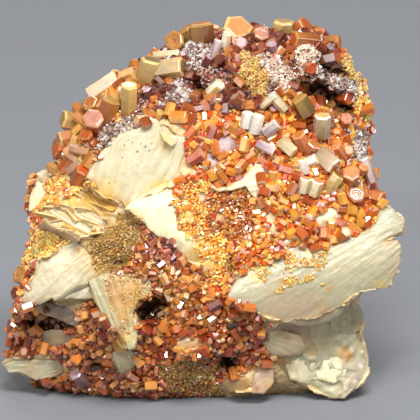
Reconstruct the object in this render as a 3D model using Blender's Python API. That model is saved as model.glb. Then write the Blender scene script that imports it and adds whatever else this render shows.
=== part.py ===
"""Vanadinite on matrix: stout hexagonal crystals and crystal crusts on intergrown baryte blades.

Metres, +Z up, standing on the flat foot of the matrix at Z = 0, face towards -Y.
Places on the specimen are read on a layout grid. It lies in a plane that leans back from
upright by LEAN: columns count to the right, rows count down, and depth counts in millimetres
out of the plane, towards the viewer of the face.
"""

import math

import bmesh
import bpy
from mathutils import Matrix, Vector, geometry, noise
from mathutils.bvhtree import BVHTree

MM = 0.001
GRID = 0.115 * MM  # one square of the layout grid
LEAN = math.radians(18)
MID_COLUMN = 201.5  # the grid column over the origin
MID_ROW = 215
FOOT_ROW = 400  # the grid row at height 0 of the layout plane
FAR = 60  # a depth in mm well outside the specimen
SHIFT_Y = 0.7 * MM  # brings the middle of the depth over the origin
SHIFT_Z = -2.3 * MM  # brings the foot to Z = 0
GAP = 0.3 * MM  # left between pieces that touch
FLAT = math.radians(3)  # faces that bend less than this become one

RIGHT = Vector((1, 0, 0))
UP = Vector((0, math.sin(LEAN), math.cos(LEAN)))
OUT = Vector((0, -math.cos(LEAN), math.sin(LEAN)))

# The bulk of the matrix, one row of the grid a line: left and right columns, front and back depth in mm.
BODY_ROWS = (
    # row, left, right, front, back
    (420, 92, 300, 2.0, -3.0),
    (404, 58, 318, 5.6, -5.6),
    (384, 28, 344, 9.0, -6.6),
    (355, 8, 356, 11.8, -7.4),
    (325, 8, 354, 14.4, -7.8),
    (295, 18, 358, 16.2, -7.6),
    (265, 24, 376, 17.0, -7.0),
    (235, 28, 382, 17.0, -6.2),
    (205, 38, 378, 16.4, -5.4),
    (175, 52, 366, 15.8, -4.4),
    (145, 64, 366, 15.0, -3.2),
    (115, 78, 368, 14.0, -2.0),
    (88, 102, 364, 13.0, -0.8),
    (64, 150, 354, 12.0, 0.6),
    (47, 176, 344, 10.6, 2.4),
    (35, 200, 316, 9.0, 4.2),
)
BODY_TOP_ROW = 30
BODY_RINGS = 22
BODY_SEGMENTS = 34
SQUARENESS = 2.5  # exponent of each cross-section: 2 is an ellipse
WIDEST_AT = 0.42  # how far forward of the back the cross-section is widest
FRACTURE_SHARE = 0.9  # how nearly flat the broken faces are
LUMP_SIZE = 5.0 * MM
LUMP_HEIGHT = 0.6 * MM

# Swells and hollows of the face: column, row, radius in mm, height in mm.
RELIEF = (
    (345, 262, 5.0, 0.9),  # right baryte mass
    (60, 270, 4.0, 0.8),  # lower left blade
    (135, 165, 4.5, 0.7),  # upper left flake
    (215, 215, 4.0, -0.9),  # hollow beside the flake
    (50, 326, 3.0, -1.6),  # cave under the lower left blade
    (155, 308, 2.5, -1.1),  # hollow beside the fan
    (228, 361, 1.6, -1.0),
    (325, 95, 2.4, -1.2),  # dark vug
    (198, 90, 2.0, -1.0),
    (250, 70, 2.6, 0.8),  # coated ridge
    (190, 320, 4.0, 0.7),
    (325, 360, 3.5, 0.6),
)

# Broken faces that flatten the back and sides: a point (column, row, depth in mm) and the direction
# it faces (right, up, out).
FRACTURES = (
    ((200, 190, -3.2), (0.10, 0.22, -0.97)),
    ((120, 290, -5.4), (-0.34, -0.16, -0.93)),
    ((290, 300, -5.6), (0.30, -0.22, -0.93)),
    ((72, 190, -0.8), (-0.80, 0.12, -0.59)),
    ((352, 180, -0.6), (0.84, 0.10, -0.53)),
    ((256, 62, 2.4), (0.06, 0.72, -0.69)),
    ((150, 96, 1.8), (-0.46, 0.60, -0.65)),
)

# Baryte blades: outline on the grid, how proud of the body in mm, slope of the face to the right
# and up, thickness in mm, and how much smaller the hidden side of the blade is. The last ones stand
# on the back of the specimen.
BLADES = {
    "upper left flake": (
        ((86, 179), (101, 155), (116, 138), (134, 130), (151, 119), (157, 118), (162, 129), (172, 123),
         (176, 133), (187, 138), (187, 148), (182, 168), (182, 180), (152, 194), (126, 207), (99, 193)),
        1.3, (-0.10, 0.08), 3.2, 0.9,
    ),
    "white tail": (
        ((126, 209), (155, 195), (177, 183), (176, 203), (176, 229), (188, 237), (202, 256), (197, 267),
         (183, 253), (162, 236), (142, 221)),
        0.9, (-0.12, 0.05), 3.0, 0.9,
    ),
    "thin left blades": (
        ((40, 213), (58, 196), (85, 190), (99, 199), (122, 212), (118, 226), (98, 238), (70, 236), (48, 228)),
        0.8, (-0.05, -0.10), 3.0, 0.9,
    ),
    "lower left blade": (
        ((80, 239), (62, 250), (39, 257), (34, 273), (21, 295), (21, 303), (36, 305), (50, 298), (93, 295),
         (90, 280), (105, 269), (103, 261), (86, 254)),
        1.3, (0.10, -0.12), 3.4, 0.9,
    ),
    "grey blade": (
        ((40, 305), (86, 307), (74, 316), (79, 327), (57, 318), (42, 312)),
        0.5, (0.05, 0.10), 3.0, 0.9,
    ),
    "fan blade": (
        ((92, 276), (112, 274), (140, 277), (151, 280), (153, 292), (137, 298), (131, 312), (139, 326),
         (135, 346), (124, 350), (112, 327), (95, 295)),
        1.1, (0.05, -0.08), 3.4, 0.9,
    ),
    "small bottom blade": (
        ((170, 342), (183, 330), (197, 331), (210, 341), (206, 350), (190, 354), (179, 349)),
        0.8, (0.0, 0.05), 3.0, 0.8,
    ),
    "bottom left blade": (
        ((-2, 363), (16, 356), (36, 353), (66, 367), (66, 371), (46, 379), (34, 378), (13, 371)),
        0.9, (0.10, 0.10), 5.0, 0.8,
    ),
    "right mass": (
        ((368, 230), (379, 212), (386, 201), (405, 222), (400, 233), (388, 240), (400, 245), (399, 271),
         (389, 285), (357, 292), (343, 307), (310, 318), (272, 325), (264, 316), (229, 298), (228, 294),
         (243, 268), (263, 264), (314, 247), (337, 244), (346, 234)),
        0.9, (-0.22, -0.04), 8.5, 0.85,
    ),
    "lower right lumps": (
        ((286, 363), (290, 378), (304, 383), (318, 394), (330, 397), (346, 397), (361, 385), (369, 373),
         (368, 357), (362, 334), (362, 314), (353, 305), (330, 318), (316, 334), (300, 345)),
        1.0, (-0.08, -0.05), 9.0, 0.85,
    ),
    "bottom lump": (
        ((222, 380), (236, 366), (270, 366), (274, 384), (258, 394), (236, 393)),
        0.7, (0.0, -0.05), 5.0, 0.9,
    ),
    "left edge blade": (
        ((27, 212), (33, 186), (42, 170), (52, 172), (47, 192), (42, 214)),
        0.3, (0.30, 0.0), 6.0, 0.8,
    ),
    "back upper blade": (
        ((150, 196), (176, 168), (236, 150), (270, 164), (262, 192), (206, 220)),
        0.9, (0.10, -0.12), 3.0, 0.9,
    ),
    "back right blade": (
        ((262, 262), (286, 230), (330, 226), (352, 250), (334, 286), (290, 300)),
        1.0, (-0.18, 0.05), 3.0, 0.9,
    ),
    "back low blade": (
        ((220, 330), (262, 300), (318, 312), (322, 344), (262, 352)),
        0.8, (-0.08, 0.10), 3.0, 0.9,
    ),
    "back left blade": (
        ((64, 250), (84, 214), (122, 216), (134, 250), (104, 280), (70, 284)),
        0.9, (0.16, 0.0), 3.0, 0.9,
    ),
}
BLADE_EDGE = 0.3 * MM  # width and rise of the bevelled rim round a blade's face

# Vanadinite crystals: column and row of the centre, lift of the centre off the matrix in mm, width and
# length in mm, direction of the long axis (right, up, out), turn about it in degrees: an edge faces the
# front at 0 and a side face at 30. A crystal with more than one line is several grown into each other.
CRYSTALS = {
    "hex_end_left": [(175, 41, 0.4, 2.6, 2.6, (-0.28, 0.25, 0.92), 20)],
    "peach_hexagon": [(235, 33, 1.1, 3.7, 2.8, (0.30, 0.55, 0.78), 8)],
    "brown_top_pair": [
        (202, 34, 0.7, 3.0, 3.2, (-0.12, 0.97, 0.22), 4),
        (189, 33, 0.2, 2.0, 2.3, (-0.55, 0.78, 0.30), 0),
    ],
    "small_top": [(260, 38, 0.6, 1.9, 2.0, (0.20, 0.50, 0.84), 20)],
    "olive_top": [(283, 32, 0.7, 2.7, 2.8, (0.06, 0.96, 0.28), -8)],
    "amber_top": [(301, 28, -0.2, 2.3, 2.6, (0.72, 0.50, 0.48), 10)],
    "amber_prisms": [
        (304, 40, 1.1, 2.1, 2.9, (-0.88, 0.08, 0.46), 6),
        (327, 42, 0.4, 1.8, 3.2, (0.95, 0.05, 0.30), 12),
    ],
    "dark_red": [(272, 50, 1.0, 1.4, 1.8, (-0.15, 0.85, 0.50), 0)],
    "lavender_bar_top": [(216, 49, 1.4, 0.9, 2.2, (0.26, 0.94, 0.20), 30)],
    "lavender_face": [(241, 46, 0.9, 1.6, 1.7, (0.00, 0.45, 0.88), 0)],
    "tan_slabs": [
        (150, 74, 0.7, 3.0, 2.5, (0.22, 0.94, 0.28), 18),
        (171, 69, 0.8, 2.5, 3.1, (0.93, 0.14, 0.34), 22),
    ],
    "pale_plate": [(168, 55, 0.9, 1.2, 2.8, (0.97, 0.08, 0.20), 0)],
    "house_prism": [(129, 98, 1.2, 2.2, 3.3, (0.03, 0.90, 0.42), 0)],
    "pink_plate": [(108, 87, 0.7, 2.9, 3.8, (0.80, 0.52, 0.30), 2)],
    "tan_hexagon": [(73, 121, 0.0, 2.3, 3.3, (-0.88, 0.22, 0.34), 4)],
    "orange_left": [(93, 108, 0.4, 2.2, 2.4, (-0.42, 0.58, 0.70), 12)],
    "orange_hidden": [(109, 109, 0.9, 2.4, 2.5, (0.30, 0.88, 0.34), 8)],
    "pink_plate_low": [(94, 123, 1.3, 2.7, 2.3, (-0.06, 0.52, 0.85), 15)],
    "striped_prism": [(71, 138, 0.1, 2.2, 3.0, (-0.93, -0.20, 0.28), 0)],
    "block_left": [(88, 140, 1.1, 1.7, 2.1, (-0.20, 0.60, 0.77), 12)],
    "brown_left": [(64, 152, 0.2, 2.1, 2.5, (-0.85, 0.35, 0.38), 0)],
    "pink_bar": [(81, 151, 1.1, 1.1, 2.0, (0.95, -0.20, 0.22), 30)],
    "pink_bars_low": [
        (76, 160, 0.8, 1.1, 1.8, (0.76, -0.58, 0.28), 30),
        (73, 168, 0.7, 1.3, 2.0, (0.76, 0.58, 0.28), 30),
    ],
    "orange_block": [(82, 175, 0.9, 2.0, 2.2, (0.35, 0.60, 0.72), 25)],
    "white_twin": [
        (247, 119, 1.1, 1.4, 1.6, (0.18, 0.92, 0.32), 30),
        (256, 123, 1.0, 1.5, 2.0, (0.24, 0.92, 0.28), 30),
    ],
    "white_bar": [
        (279, 104, 1.1, 1.2, 2.3, (-0.66, 0.70, 0.26), 30),
        (265, 104, 1.0, 1.0, 1.9, (0.76, 0.60, 0.26), 30),
    ],
    "olive_hexagon": [(302, 105, 1.0, 2.1, 2.1, (-0.46, 0.80, 0.38), 18)],
    "cream_square": [(322, 125, 1.1, 2.1, 2.4, (0.04, 0.90, 0.42), 22)],
    "orange_hexagon": [(345, 121, 0.8, 1.5, 1.7, (0.20, 0.35, 0.91), 10)],
    "lavender_bars": [(272, 128, 1.1, 1.3, 1.7, (0.76, 0.58, 0.30), 30)],
    "lavender_bar_mid": [(267, 149, 1.0, 1.2, 1.9, (0.86, -0.45, 0.26), 30)],
    "cream_bar": [(288, 148, 1.1, 1.5, 1.8, (0.72, -0.64, 0.26), 0)],
    "yellow_orange_group": [
        (301, 141, 0.9, 1.8, 1.9, (-0.40, 0.75, 0.50), 0),
        (310, 148, 0.9, 1.6, 1.7, (0.50, 0.60, 0.62), 15),
    ],
    "tan_crystal": [(328, 161, 1.2, 2.3, 2.3, (0.70, -0.62, 0.32), 0)],
    "orange_pair": [
        (339, 151, 0.8, 1.5, 1.8, (-0.50, 0.70, 0.50), 0),
        (347, 152, 1.0, 1.3, 1.6, (0.20, 0.30, 0.93), 20),
    ],
    "tan_cluster": [
        (350, 178, 1.0, 2.3, 2.2, (0.10, 0.62, 0.78), 10),
        (361, 171, 0.7, 1.4, 1.8, (0.45, 0.60, 0.66), 20),
    ],
    "shiny_white": [(368, 169, 0.6, 1.2, 2.7, (-0.36, 0.91, 0.20), 30)],
    "pink_stepped": [(355, 197, 1.0, 2.1, 1.9, (0.15, 0.35, 0.92), 5)],
    "right_edge_prism": [(373, 197, 0.4, 2.1, 2.8, (0.88, -0.22, 0.42), 12)],
    "cream_squares": [
        (304, 184, 0.9, 1.4, 1.5, (0.20, 0.90, 0.38), 30),
        (315, 187, 0.9, 1.6, 1.6, (0.30, 0.86, 0.42), 24),
    ],
    "white_group": [
        (303, 165, 0.9, 1.2, 1.5, (-0.20, 0.92, 0.34), 30),
        (311, 161, 0.9, 1.3, 1.5, (0.85, 0.40, 0.34), 30),
    ],
    "cream_olive": [(333, 182, 0.9, 1.6, 2.1, (0.56, 0.77, 0.30), 12)],
    "left_edge_orange": [(20, 274, 0.2, 2.4, 2.4, (-0.70, 0.30, 0.65), 10)],
    "left_edge_low": [(14, 293, 0.2, 1.9, 2.2, (-0.75, 0.10, 0.65), 0)],
    "lavender_low": [(79, 377, 0.8, 1.7, 1.9, (-0.45, 0.50, 0.74), 0)],
}
CAP_CHAMFER = 0.13  # the sloping faces round a crystal's flat cap, as a share of its width

# Crusts of small crystals, too many to be solids of their own: the side they lie on, outline on that
# side's own two axes (columns and rows on the face and back; depth in mm and rows on the left and
# right; columns and depth in mm on the top) and the height of their tips in mm.
CRUSTS = {
    "crust_top_rim": (
        "face",
        ((150, 90), (146, 66), (172, 46), (200, 34), (250, 32), (312, 31), (344, 46), (352, 64), (330, 58),
         (300, 56), (262, 62), (226, 62), (188, 84)),
        0.9,
    ),
    "crust_left_rim": (
        "face",
        ((58, 176), (56, 150), (66, 122), (84, 100), (108, 80), (140, 68), (146, 94), (184, 88), (178, 116),
         (160, 112), (132, 124), (116, 132), (98, 152), (86, 172)),
        0.8,
    ),
    "crust_upper_right": (
        "face",
        ((184, 94), (230, 68), (266, 67), (300, 62), (326, 64), (350, 72), (362, 100), (364, 150), (368, 190),
         (360, 208), (342, 226), (306, 238), (282, 230), (262, 196), (238, 178), (204, 176), (188, 132)),
        0.9,
    ),
    "crust_centre": (
        "face",
        ((188, 184), (234, 184), (256, 206), (272, 236), (300, 246), (258, 259), (236, 263), (222, 290),
         (204, 290), (208, 258), (194, 232), (180, 222), (180, 196)),
        0.8,
    ),
    "crust_middle_left": (
        "face",
        ((86, 246), (124, 220), (142, 231), (160, 243), (182, 262), (194, 276), (198, 292), (192, 312),
         (160, 322), (144, 308), (158, 292), (152, 274), (110, 268)),
        0.8,
    ),
    "crust_bottom": (
        "face",
        ((142, 322), (186, 316), (200, 300), (218, 302), (244, 312), (262, 328), (290, 330), (278, 358),
         (240, 360), (218, 376), (206, 390), (140, 392), (132, 366), (142, 346)),
        0.9,
    ),
    "crust_lower_left": (
        "face",
        ((14, 318), (36, 320), (62, 332), (94, 322), (116, 346), (124, 358), (124, 391), (84, 390), (44, 385),
         (72, 372), (68, 362), (38, 348), (14, 350)),
        0.9,
    ),
    "crust_left_edge": (
        "left",
        ((6, 306), (8, 280), (8, 240), (7, 206), (4, 180), (1, 180), (-1, 230), (-2, 280), (-1, 308)),
        0.8,
    ),
    "crust_right_edge": (
        "right",
        ((0, 196), (8, 196), (9, 150), (8, 100), (7, 76), (3, 76), (1, 120), (-1, 160)),
        0.8,
    ),
    "crust_top": (
        "top",
        ((208, 4.4), (250, 5.0), (300, 5.0), (322, 3.8), (312, 1.6), (270, 0.8), (226, 1.0)),
        0.8,
    ),
    "crust_back": (
        "back",
        ((120, 140), (160, 104), (230, 84), (300, 92), (330, 140), (324, 196), (282, 216), (274, 176),
         (258, 148), (228, 142), (172, 160), (142, 190), (118, 184)),
        0.8,
    ),
    "crust_back_low": (
        "back",
        ((84, 300), (140, 262), (196, 262), (216, 300), (206, 342), (140, 346), (92, 336)),
        0.7,
    ),
}
CRUST_SPACING = 3.6 * MM
CRUST_ROUGHNESS = 0.25 * MM


# ---------------------------------------------------------------- places and helpers


def place(column, row, depth=0.0):
    """The point at a column and row of the layout grid, depth millimetres in front of its plane."""
    across = (column - MID_COLUMN) * GRID
    up = (FOOT_ROW - row) * GRID
    return RIGHT * across + UP * up + OUT * (depth * MM) + Vector((0, SHIFT_Y, SHIFT_Z))


def scene_object(name, mesh):
    obj = bpy.data.objects.new(name, mesh)
    bpy.context.scene.collection.objects.link(obj)
    return obj


def helper_object(name, mesh):
    """An object that only cuts or guides others."""
    obj = scene_object(name, mesh)
    obj.hide_render = True
    obj.display_type = "WIRE"
    return obj


def mesh_from(bm, name):
    bmesh.ops.recalc_face_normals(bm, faces=bm.faces[:])
    mesh = bpy.data.meshes.new(name)
    bm.to_mesh(mesh)
    bm.free()
    return mesh


def grown(mesh, distance, name):
    """A copy of a mesh with every face moved outwards by about distance."""
    bm = bmesh.new()
    bm.from_mesh(mesh)
    bm.normal_update()
    moves = {}
    for vert in bm.verts:
        spread = min((vert.normal.dot(face.normal) for face in vert.link_faces), default=1.0)
        moves[vert] = vert.normal * (distance / max(spread, 0.5))
    for vert, move in moves.items():
        vert.co += move
    return mesh_from(bm, name)


def triangulated(mesh, flat=0.0):
    """The mesh with every face cut into triangles. Faces bent by less than flat (radians) are joined first."""
    bm = bmesh.new()
    bm.from_mesh(mesh)
    if flat:
        bmesh.ops.dissolve_limit(bm, angle_limit=flat, verts=bm.verts[:], edges=bm.edges[:])
    bmesh.ops.triangulate(bm, faces=bm.faces[:])
    bm.to_mesh(mesh)
    bm.free()
    return mesh


def boolean(mesh, other, operation):
    """The union of two closed meshes, or the first with the second taken away.

    A crust meets dozens of crystals, and EXACT leaves open edges after so many cuts, so the
    solver is MANIFOLD, which keeps every result closed.
    """
    body = helper_object("body", mesh)
    tool = helper_object("tool", other)
    modifier = body.modifiers.new("boolean", "BOOLEAN")
    modifier.operation = operation
    modifier.object = tool
    modifier.solver = "MANIFOLD"
    graph = bpy.context.evaluated_depsgraph_get()
    result = bpy.data.meshes.new_from_object(body.evaluated_get(graph))
    bpy.data.objects.remove(body)
    bpy.data.objects.remove(tool)
    return triangulated(result)


def largest_piece(mesh):
    """The mesh with only its biggest connected piece kept."""
    bm = bmesh.new()
    bm.from_mesh(mesh)
    left = set(bm.verts)
    pieces = []
    while left:
        piece = {left.pop()}
        edge_of_piece = list(piece)
        while edge_of_piece:
            vert = edge_of_piece.pop()
            for edge in vert.link_edges:
                other = edge.other_vert(vert)
                if other in left:
                    left.discard(other)
                    piece.add(other)
                    edge_of_piece.append(other)
        pieces.append(piece)
    pieces.sort(key=len)
    for piece in pieces[:-1]:
        bmesh.ops.delete(bm, geom=list(piece), context="VERTS")
    return mesh_from(bm, mesh.name)


def near(mesh_a, mesh_b, margin=0.6 * MM):
    """Whether the boxes round two meshes come within margin of each other."""
    for axis in range(3):
        a = [v.co[axis] for v in mesh_a.vertices]
        b = [v.co[axis] for v in mesh_b.vertices]
        if min(a) > max(b) + margin or min(b) > max(a) + margin:
            return False
    return True


def material(name, colour, roughness):
    made = bpy.data.materials.new(name)
    made.use_nodes = True
    shader = made.node_tree.nodes["Principled BSDF"]
    shader.inputs["Base Color"].default_value = (*colour, 1)
    shader.inputs["Roughness"].default_value = roughness
    shader.inputs["Metallic"].default_value = 0
    return made


# ---------------------------------------------------------------- the matrix


def row_values(row):
    """Left and right columns and front and back depths of the bulk at a grid row, smoothly between the given rows."""
    rows = sorted(BODY_ROWS)
    row = min(max(row, rows[0][0]), rows[-1][0])
    for lower, upper in zip(rows, rows[1:]):
        if lower[0] <= row <= upper[0]:
            share = (row - lower[0]) / (upper[0] - lower[0])
            return [a + (b - a) * share for a, b in zip(lower[1:], upper[1:])]


def bulk(grow=0.0):
    """The rounded, lumpy bulk of the matrix, ring by ring from the bottom to the top."""
    bm = bmesh.new()
    top, bottom = BODY_ROWS[-1][0], BODY_ROWS[0][0]
    rings = []
    for i in range(BODY_RINGS):
        row = bottom + (top - bottom) * i / (BODY_RINGS - 1)
        left, right, front, back = row_values(row)
        widest = back + (front - back) * WIDEST_AT
        ring = []
        for k in range(BODY_SEGMENTS):
            angle = 2 * math.pi * k / BODY_SEGMENTS
            side, facing = math.cos(angle), math.sin(angle)
            reach = math.copysign(abs(side) ** (2 / SQUARENESS), side)
            column = (left + right) / 2 + (right - left) / 2 * reach
            deep = abs(facing) ** (2 / SQUARENESS)
            depth = widest + ((front - widest) if facing > 0 else (back - widest)) * deep
            if facing > 0:
                for hill_column, hill_row, radius, height in RELIEF:
                    far = math.hypot(column - hill_column, row - hill_row) * GRID / MM
                    depth += facing * height * math.exp(-((far / radius) ** 2))
            ring.append(bm.verts.new(place(column, row, depth)))
        rings.append(ring)
    for lower, upper in zip(rings, rings[1:]):
        for k in range(BODY_SEGMENTS):
            after = (k + 1) % BODY_SEGMENTS
            bm.faces.new((lower[k], lower[after], upper[after], upper[k]))
    for ring, row in ((rings[0], bottom + 4), (rings[-1], BODY_TOP_ROW)):
        left, right, front, back = row_values(row)
        tip = bm.verts.new(place((left + right) / 2, row, (front + back) / 2))
        for k in range(BODY_SEGMENTS):
            bm.faces.new((ring[k], ring[(k + 1) % BODY_SEGMENTS], tip))
    for (column, row, depth), (right, up, out) in FRACTURES:
        facing = (RIGHT * right + UP * up + OUT * out).normalized()
        for vert in bm.verts:
            beyond = (vert.co - place(column, row, depth)).dot(facing)
            if beyond > 0:
                vert.co -= facing * beyond * FRACTURE_SHARE
    bmesh.ops.recalc_face_normals(bm, faces=bm.faces[:])
    bm.normal_update()
    for vert in bm.verts:
        lump = noise.noise(vert.co / LUMP_SIZE) + 0.5 * noise.noise(vert.co / LUMP_SIZE * 2.3)
        vert.co += vert.normal * (LUMP_HEIGHT * lump + grow)
    return mesh_from(bm, "bulk")


def seat(tree, column, row, side=1):
    """The depth in mm of the matrix's surface at a place on the grid, or of its nearest edge beside one.

    side is 1 on the face and -1 on the back.
    """
    centre = Vector((MID_COLUMN, MID_ROW))
    spot = Vector((column, row))
    while True:
        start = place(spot.x, spot.y, side * FAR)
        hit, _, _, distance = tree.ray_cast(start, -side * OUT)
        if hit is not None:
            return side * (FAR - distance / MM)
        spot += (centre - spot).normalized()


def blade(tree, name, grow=0.0):
    """One baryte blade: its outline, a little domed outside, and drawn in towards its hidden side."""
    outline, proud, slope, thickness, hidden_scale = BLADES[name]
    side = -1 if name.startswith("back") else 1
    middle = Vector((sum(p[0] for p in outline), sum(p[1] for p in outline))) / len(outline)
    depth = seat(tree, middle.x, middle.y, side) + side * proud
    bm = bmesh.new()
    fronts, backs = [], []
    for column, row in outline:
        across, up = (column - middle.x) * GRID / MM, (middle.y - row) * GRID / MM
        lean = slope[0] * across + slope[1] * up
        fronts.append(bm.verts.new(place(column, row, depth + lean)))
        drawn = middle + (Vector((column, row)) - middle) * hidden_scale
        backs.append(bm.verts.new(place(drawn.x, drawn.y, depth + lean - side * thickness)))
    count = len(outline)
    face = bm.faces.new(fronts)
    bm.faces.new(list(reversed(backs)))
    for i in range(count):
        bm.faces.new((fronts[i], backs[i], backs[(i + 1) % count], fronts[(i + 1) % count]))
    bmesh.ops.inset_individual(bm, faces=[face], thickness=BLADE_EDGE, depth=0)
    for vert in face.verts:
        vert.co += OUT * side * BLADE_EDGE
    bmesh.ops.recalc_face_normals(bm, faces=bm.faces[:])
    bmesh.ops.triangulate(bm, faces=bm.faces[:])
    made = mesh_from(bm, "blade")
    return grown(made, grow, "blade") if grow else made


def foot_cutter(grow=0.0):
    """A block that takes away everything under the foot."""
    size = 80 * MM
    bm = bmesh.new()
    bmesh.ops.create_cube(bm, size=size, matrix=Matrix.Translation((0, 0, -size / 2 - grow)))
    return mesh_from(bm, "foot_cutter")


def matrix_mesh(tree, grow=0.0):
    """The bulk and all the blades as one solid, cut flat at the foot."""
    whole = bulk(grow)
    for name in BLADES:
        whole = boolean(whole, blade(tree, name, grow), "UNION")
    return largest_piece(boolean(whole, foot_cutter(grow), "DIFFERENCE"))


# ---------------------------------------------------------------- crystals


def standing(along, turn):
    """The turn that brings Z onto a crystal's long axis and one of its edges to the front, then turns it by degrees."""
    front = OUT - along * OUT.dot(along)
    if front.length < 0.3:
        front = UP - along * UP.dot(along)
    front.normalize()
    upright = Matrix((front.cross(along), front, along)).transposed().to_4x4()
    return upright @ Matrix.Rotation(math.radians(turn), 4, "Z")


def prism(tree, line, grow=0.0):
    """One hexagonal crystal with a flat cap and a sloping rim at both ends, or plain ends where it is grown."""
    column, row, lift, width, length, axis, turn = line
    centre = place(column, row, seat(tree, column, row) + lift)
    along = (RIGHT * axis[0] + UP * axis[1] + OUT * axis[2]).normalized()
    radius = width * MM / 2 + grow
    half = length * MM / 2 + grow
    rim = CAP_CHAMFER * width * MM
    bm = bmesh.new()
    bmesh.ops.create_cone(bm, cap_ends=True, segments=6, radius1=radius, radius2=radius, depth=2 * half)
    if not grow:
        caps = [face for face in bm.faces if abs(face.normal.z) > 0.9]
        bmesh.ops.inset_individual(bm, faces=caps, thickness=rim, depth=0)
        for vert in set(bm.verts) - {vert for face in caps for vert in face.verts}:
            vert.co.z -= math.copysign(rim * 0.7, vert.co.z)
    bmesh.ops.transform(bm, matrix=Matrix.Translation(centre) @ standing(along, turn), verts=bm.verts[:])
    return mesh_from(bm, "prism")


def crystal_mesh(tree, lines, grow=0.0):
    whole = prism(tree, lines[0], grow)
    for line in lines[1:]:
        whole = boolean(whole, prism(tree, line, grow), "UNION")
    return whole


# ---------------------------------------------------------------- crusts


def crust_ray(side, a, b):
    """Start and direction of the line that meets the matrix at place a, b of a side."""
    if side == "face":
        return place(a, b, FAR), -OUT
    if side == "back":
        return place(a, b, -FAR), OUT
    if side == "left":
        return place(MID_COLUMN, b, a) - RIGHT * FAR * MM, RIGHT
    if side == "right":
        return place(MID_COLUMN, b, a) + RIGHT * FAR * MM, -RIGHT
    return place(a, MID_ROW, b) + UP * FAR * MM, -UP


def crust_mesh(tree, side, outline, height):
    """A lumpy sheet laid over the matrix, from inside it to the tips of the crystals that it stands for."""
    scale = [GRID, GRID]
    if side in ("left", "right"):
        scale[0] = MM
    if side == "top":
        scale[1] = MM
    rim = [Vector((a * scale[0], b * scale[1])) for a, b in outline]
    border = []
    for here, there in zip(rim, rim[1:] + rim[:1]):
        steps = max(1, round((there - here).length / CRUST_SPACING))
        border += [here.lerp(there, k / steps) for k in range(steps)]
    count = len(border)
    low = Vector((min(p.x for p in border), min(p.y for p in border)))
    high = Vector((max(p.x for p in border), max(p.y for p in border)))
    inner = []
    y, shifted = low.y + CRUST_SPACING * 0.6, False
    while y < high.y:
        x = low.x + CRUST_SPACING * (0.9 if shifted else 0.4)
        while x < high.x:
            point = Vector((x, y))
            if inside(point, border) and clear_of(point, border, 0.6 * CRUST_SPACING):
                inner.append(point)
            x += CRUST_SPACING
        y, shifted = y + CRUST_SPACING * 0.87, not shifted
    edges = [(k, (k + 1) % count) for k in range(count)]
    flat, _, triangles, *_ = geometry.delaunay_2d_cdt(border + inner, edges, [list(range(count))], 1, 1e-9)
    bm = bmesh.new()
    tops, bottoms = [], []
    for k, point in enumerate(flat):
        start, direction = crust_ray(side, point.x / scale[0], point.y / scale[1])
        spot, normal, _, _ = tree.ray_cast(start, direction)
        if spot is None:
            spot, normal, _, _ = tree.find_nearest(start + direction * FAR * MM)
        rough = CRUST_ROUGHNESS * noise.noise(spot / (1.7 * MM))
        share = 0.7 if k < count else 1.0
        out = (normal - direction).normalized()
        tops.append(bm.verts.new(spot + out * (GAP + height * MM * share + rough)))
        bottoms.append(bm.verts.new(spot - out * 0.6 * MM))
    for a, b, c in triangles:
        bm.faces.new((tops[a], tops[b], tops[c]))
        bm.faces.new((bottoms[c], bottoms[b], bottoms[a]))
    for edge in [edge for edge in bm.edges if edge.is_boundary and edge.verts[0] in set(tops)]:
        first, second = (tops.index(vert) for vert in edge.verts)
        bm.faces.new((tops[first], tops[second], bottoms[second], bottoms[first]))
    bmesh.ops.triangulate(bm, faces=bm.faces[:])
    return mesh_from(bm, "crust")


def inside(point, loop):
    crossings = 0
    for here, there in zip(loop, loop[1:] + loop[:1]):
        if (here.y > point.y) != (there.y > point.y):
            at = here.x + (point.y - here.y) / (there.y - here.y) * (there.x - here.x)
            crossings += at > point.x
    return crossings % 2 == 1


def clear_of(point, loop, distance):
    return all((point - other).length > distance for other in loop)


# ---------------------------------------------------------------- the whole specimen


def clear_scene():
    for obj in list(bpy.data.objects):
        bpy.data.objects.remove(obj)


def main():
    clear_scene()
    baryte = material("baryte", (0.80, 0.72, 0.56), 0.45)
    vanadinite = material("vanadinite", (0.52, 0.20, 0.06), 0.25)
    druse = material("druse", (0.55, 0.17, 0.03), 0.30)

    body_tree = BVHTree.FromPolygons(*polygons_of(bulk()))
    matrix = matrix_mesh(body_tree)
    scene_object("baryte_matrix", matrix).data.materials.append(baryte)
    matrix_cutter = matrix_mesh(body_tree, GAP)

    cutters = []
    for name, lines in CRYSTALS.items():
        mesh = crystal_mesh(body_tree, lines)
        cutter = crystal_mesh(body_tree, lines, GAP)
        for other in cutters:
            if near(mesh, other):
                mesh = boolean(mesh, other, "DIFFERENCE")
        mesh = triangulated(largest_piece(boolean(mesh, matrix_cutter, "DIFFERENCE")), FLAT)
        cutters.append(cutter)
        scene_object(name, mesh).data.materials.append(vanadinite)

    crust_cutters = []
    for name, (side, outline, height) in CRUSTS.items():
        sheet = crust_mesh(body_tree, side, outline, height)
        mesh = sheet
        for other in cutters + crust_cutters:
            if near(mesh, other):
                mesh = boolean(mesh, other, "DIFFERENCE")
        mesh = triangulated(largest_piece(boolean(mesh, matrix_cutter, "DIFFERENCE")), FLAT)
        crust_cutters.append(grown(sheet, GAP, "crust_cutter"))
        scene_object(name, mesh).data.materials.append(druse)


def polygons_of(mesh):
    return [v.co.copy() for v in mesh.vertices], [tuple(p.vertices) for p in mesh.polygons]


main()
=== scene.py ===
# %% [markdown]
# # Vanadinite on baryte
# Vanadinite grows as stout six-sided prisms with flat ends, orange to red-brown and glassy.
# Here thousands of them crust over blades of creamy baryte. The solids of the matrix and of the
# large crystals come from the frame, and this lesson gives each of them its real surface.

# %% The frame
import math

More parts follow.
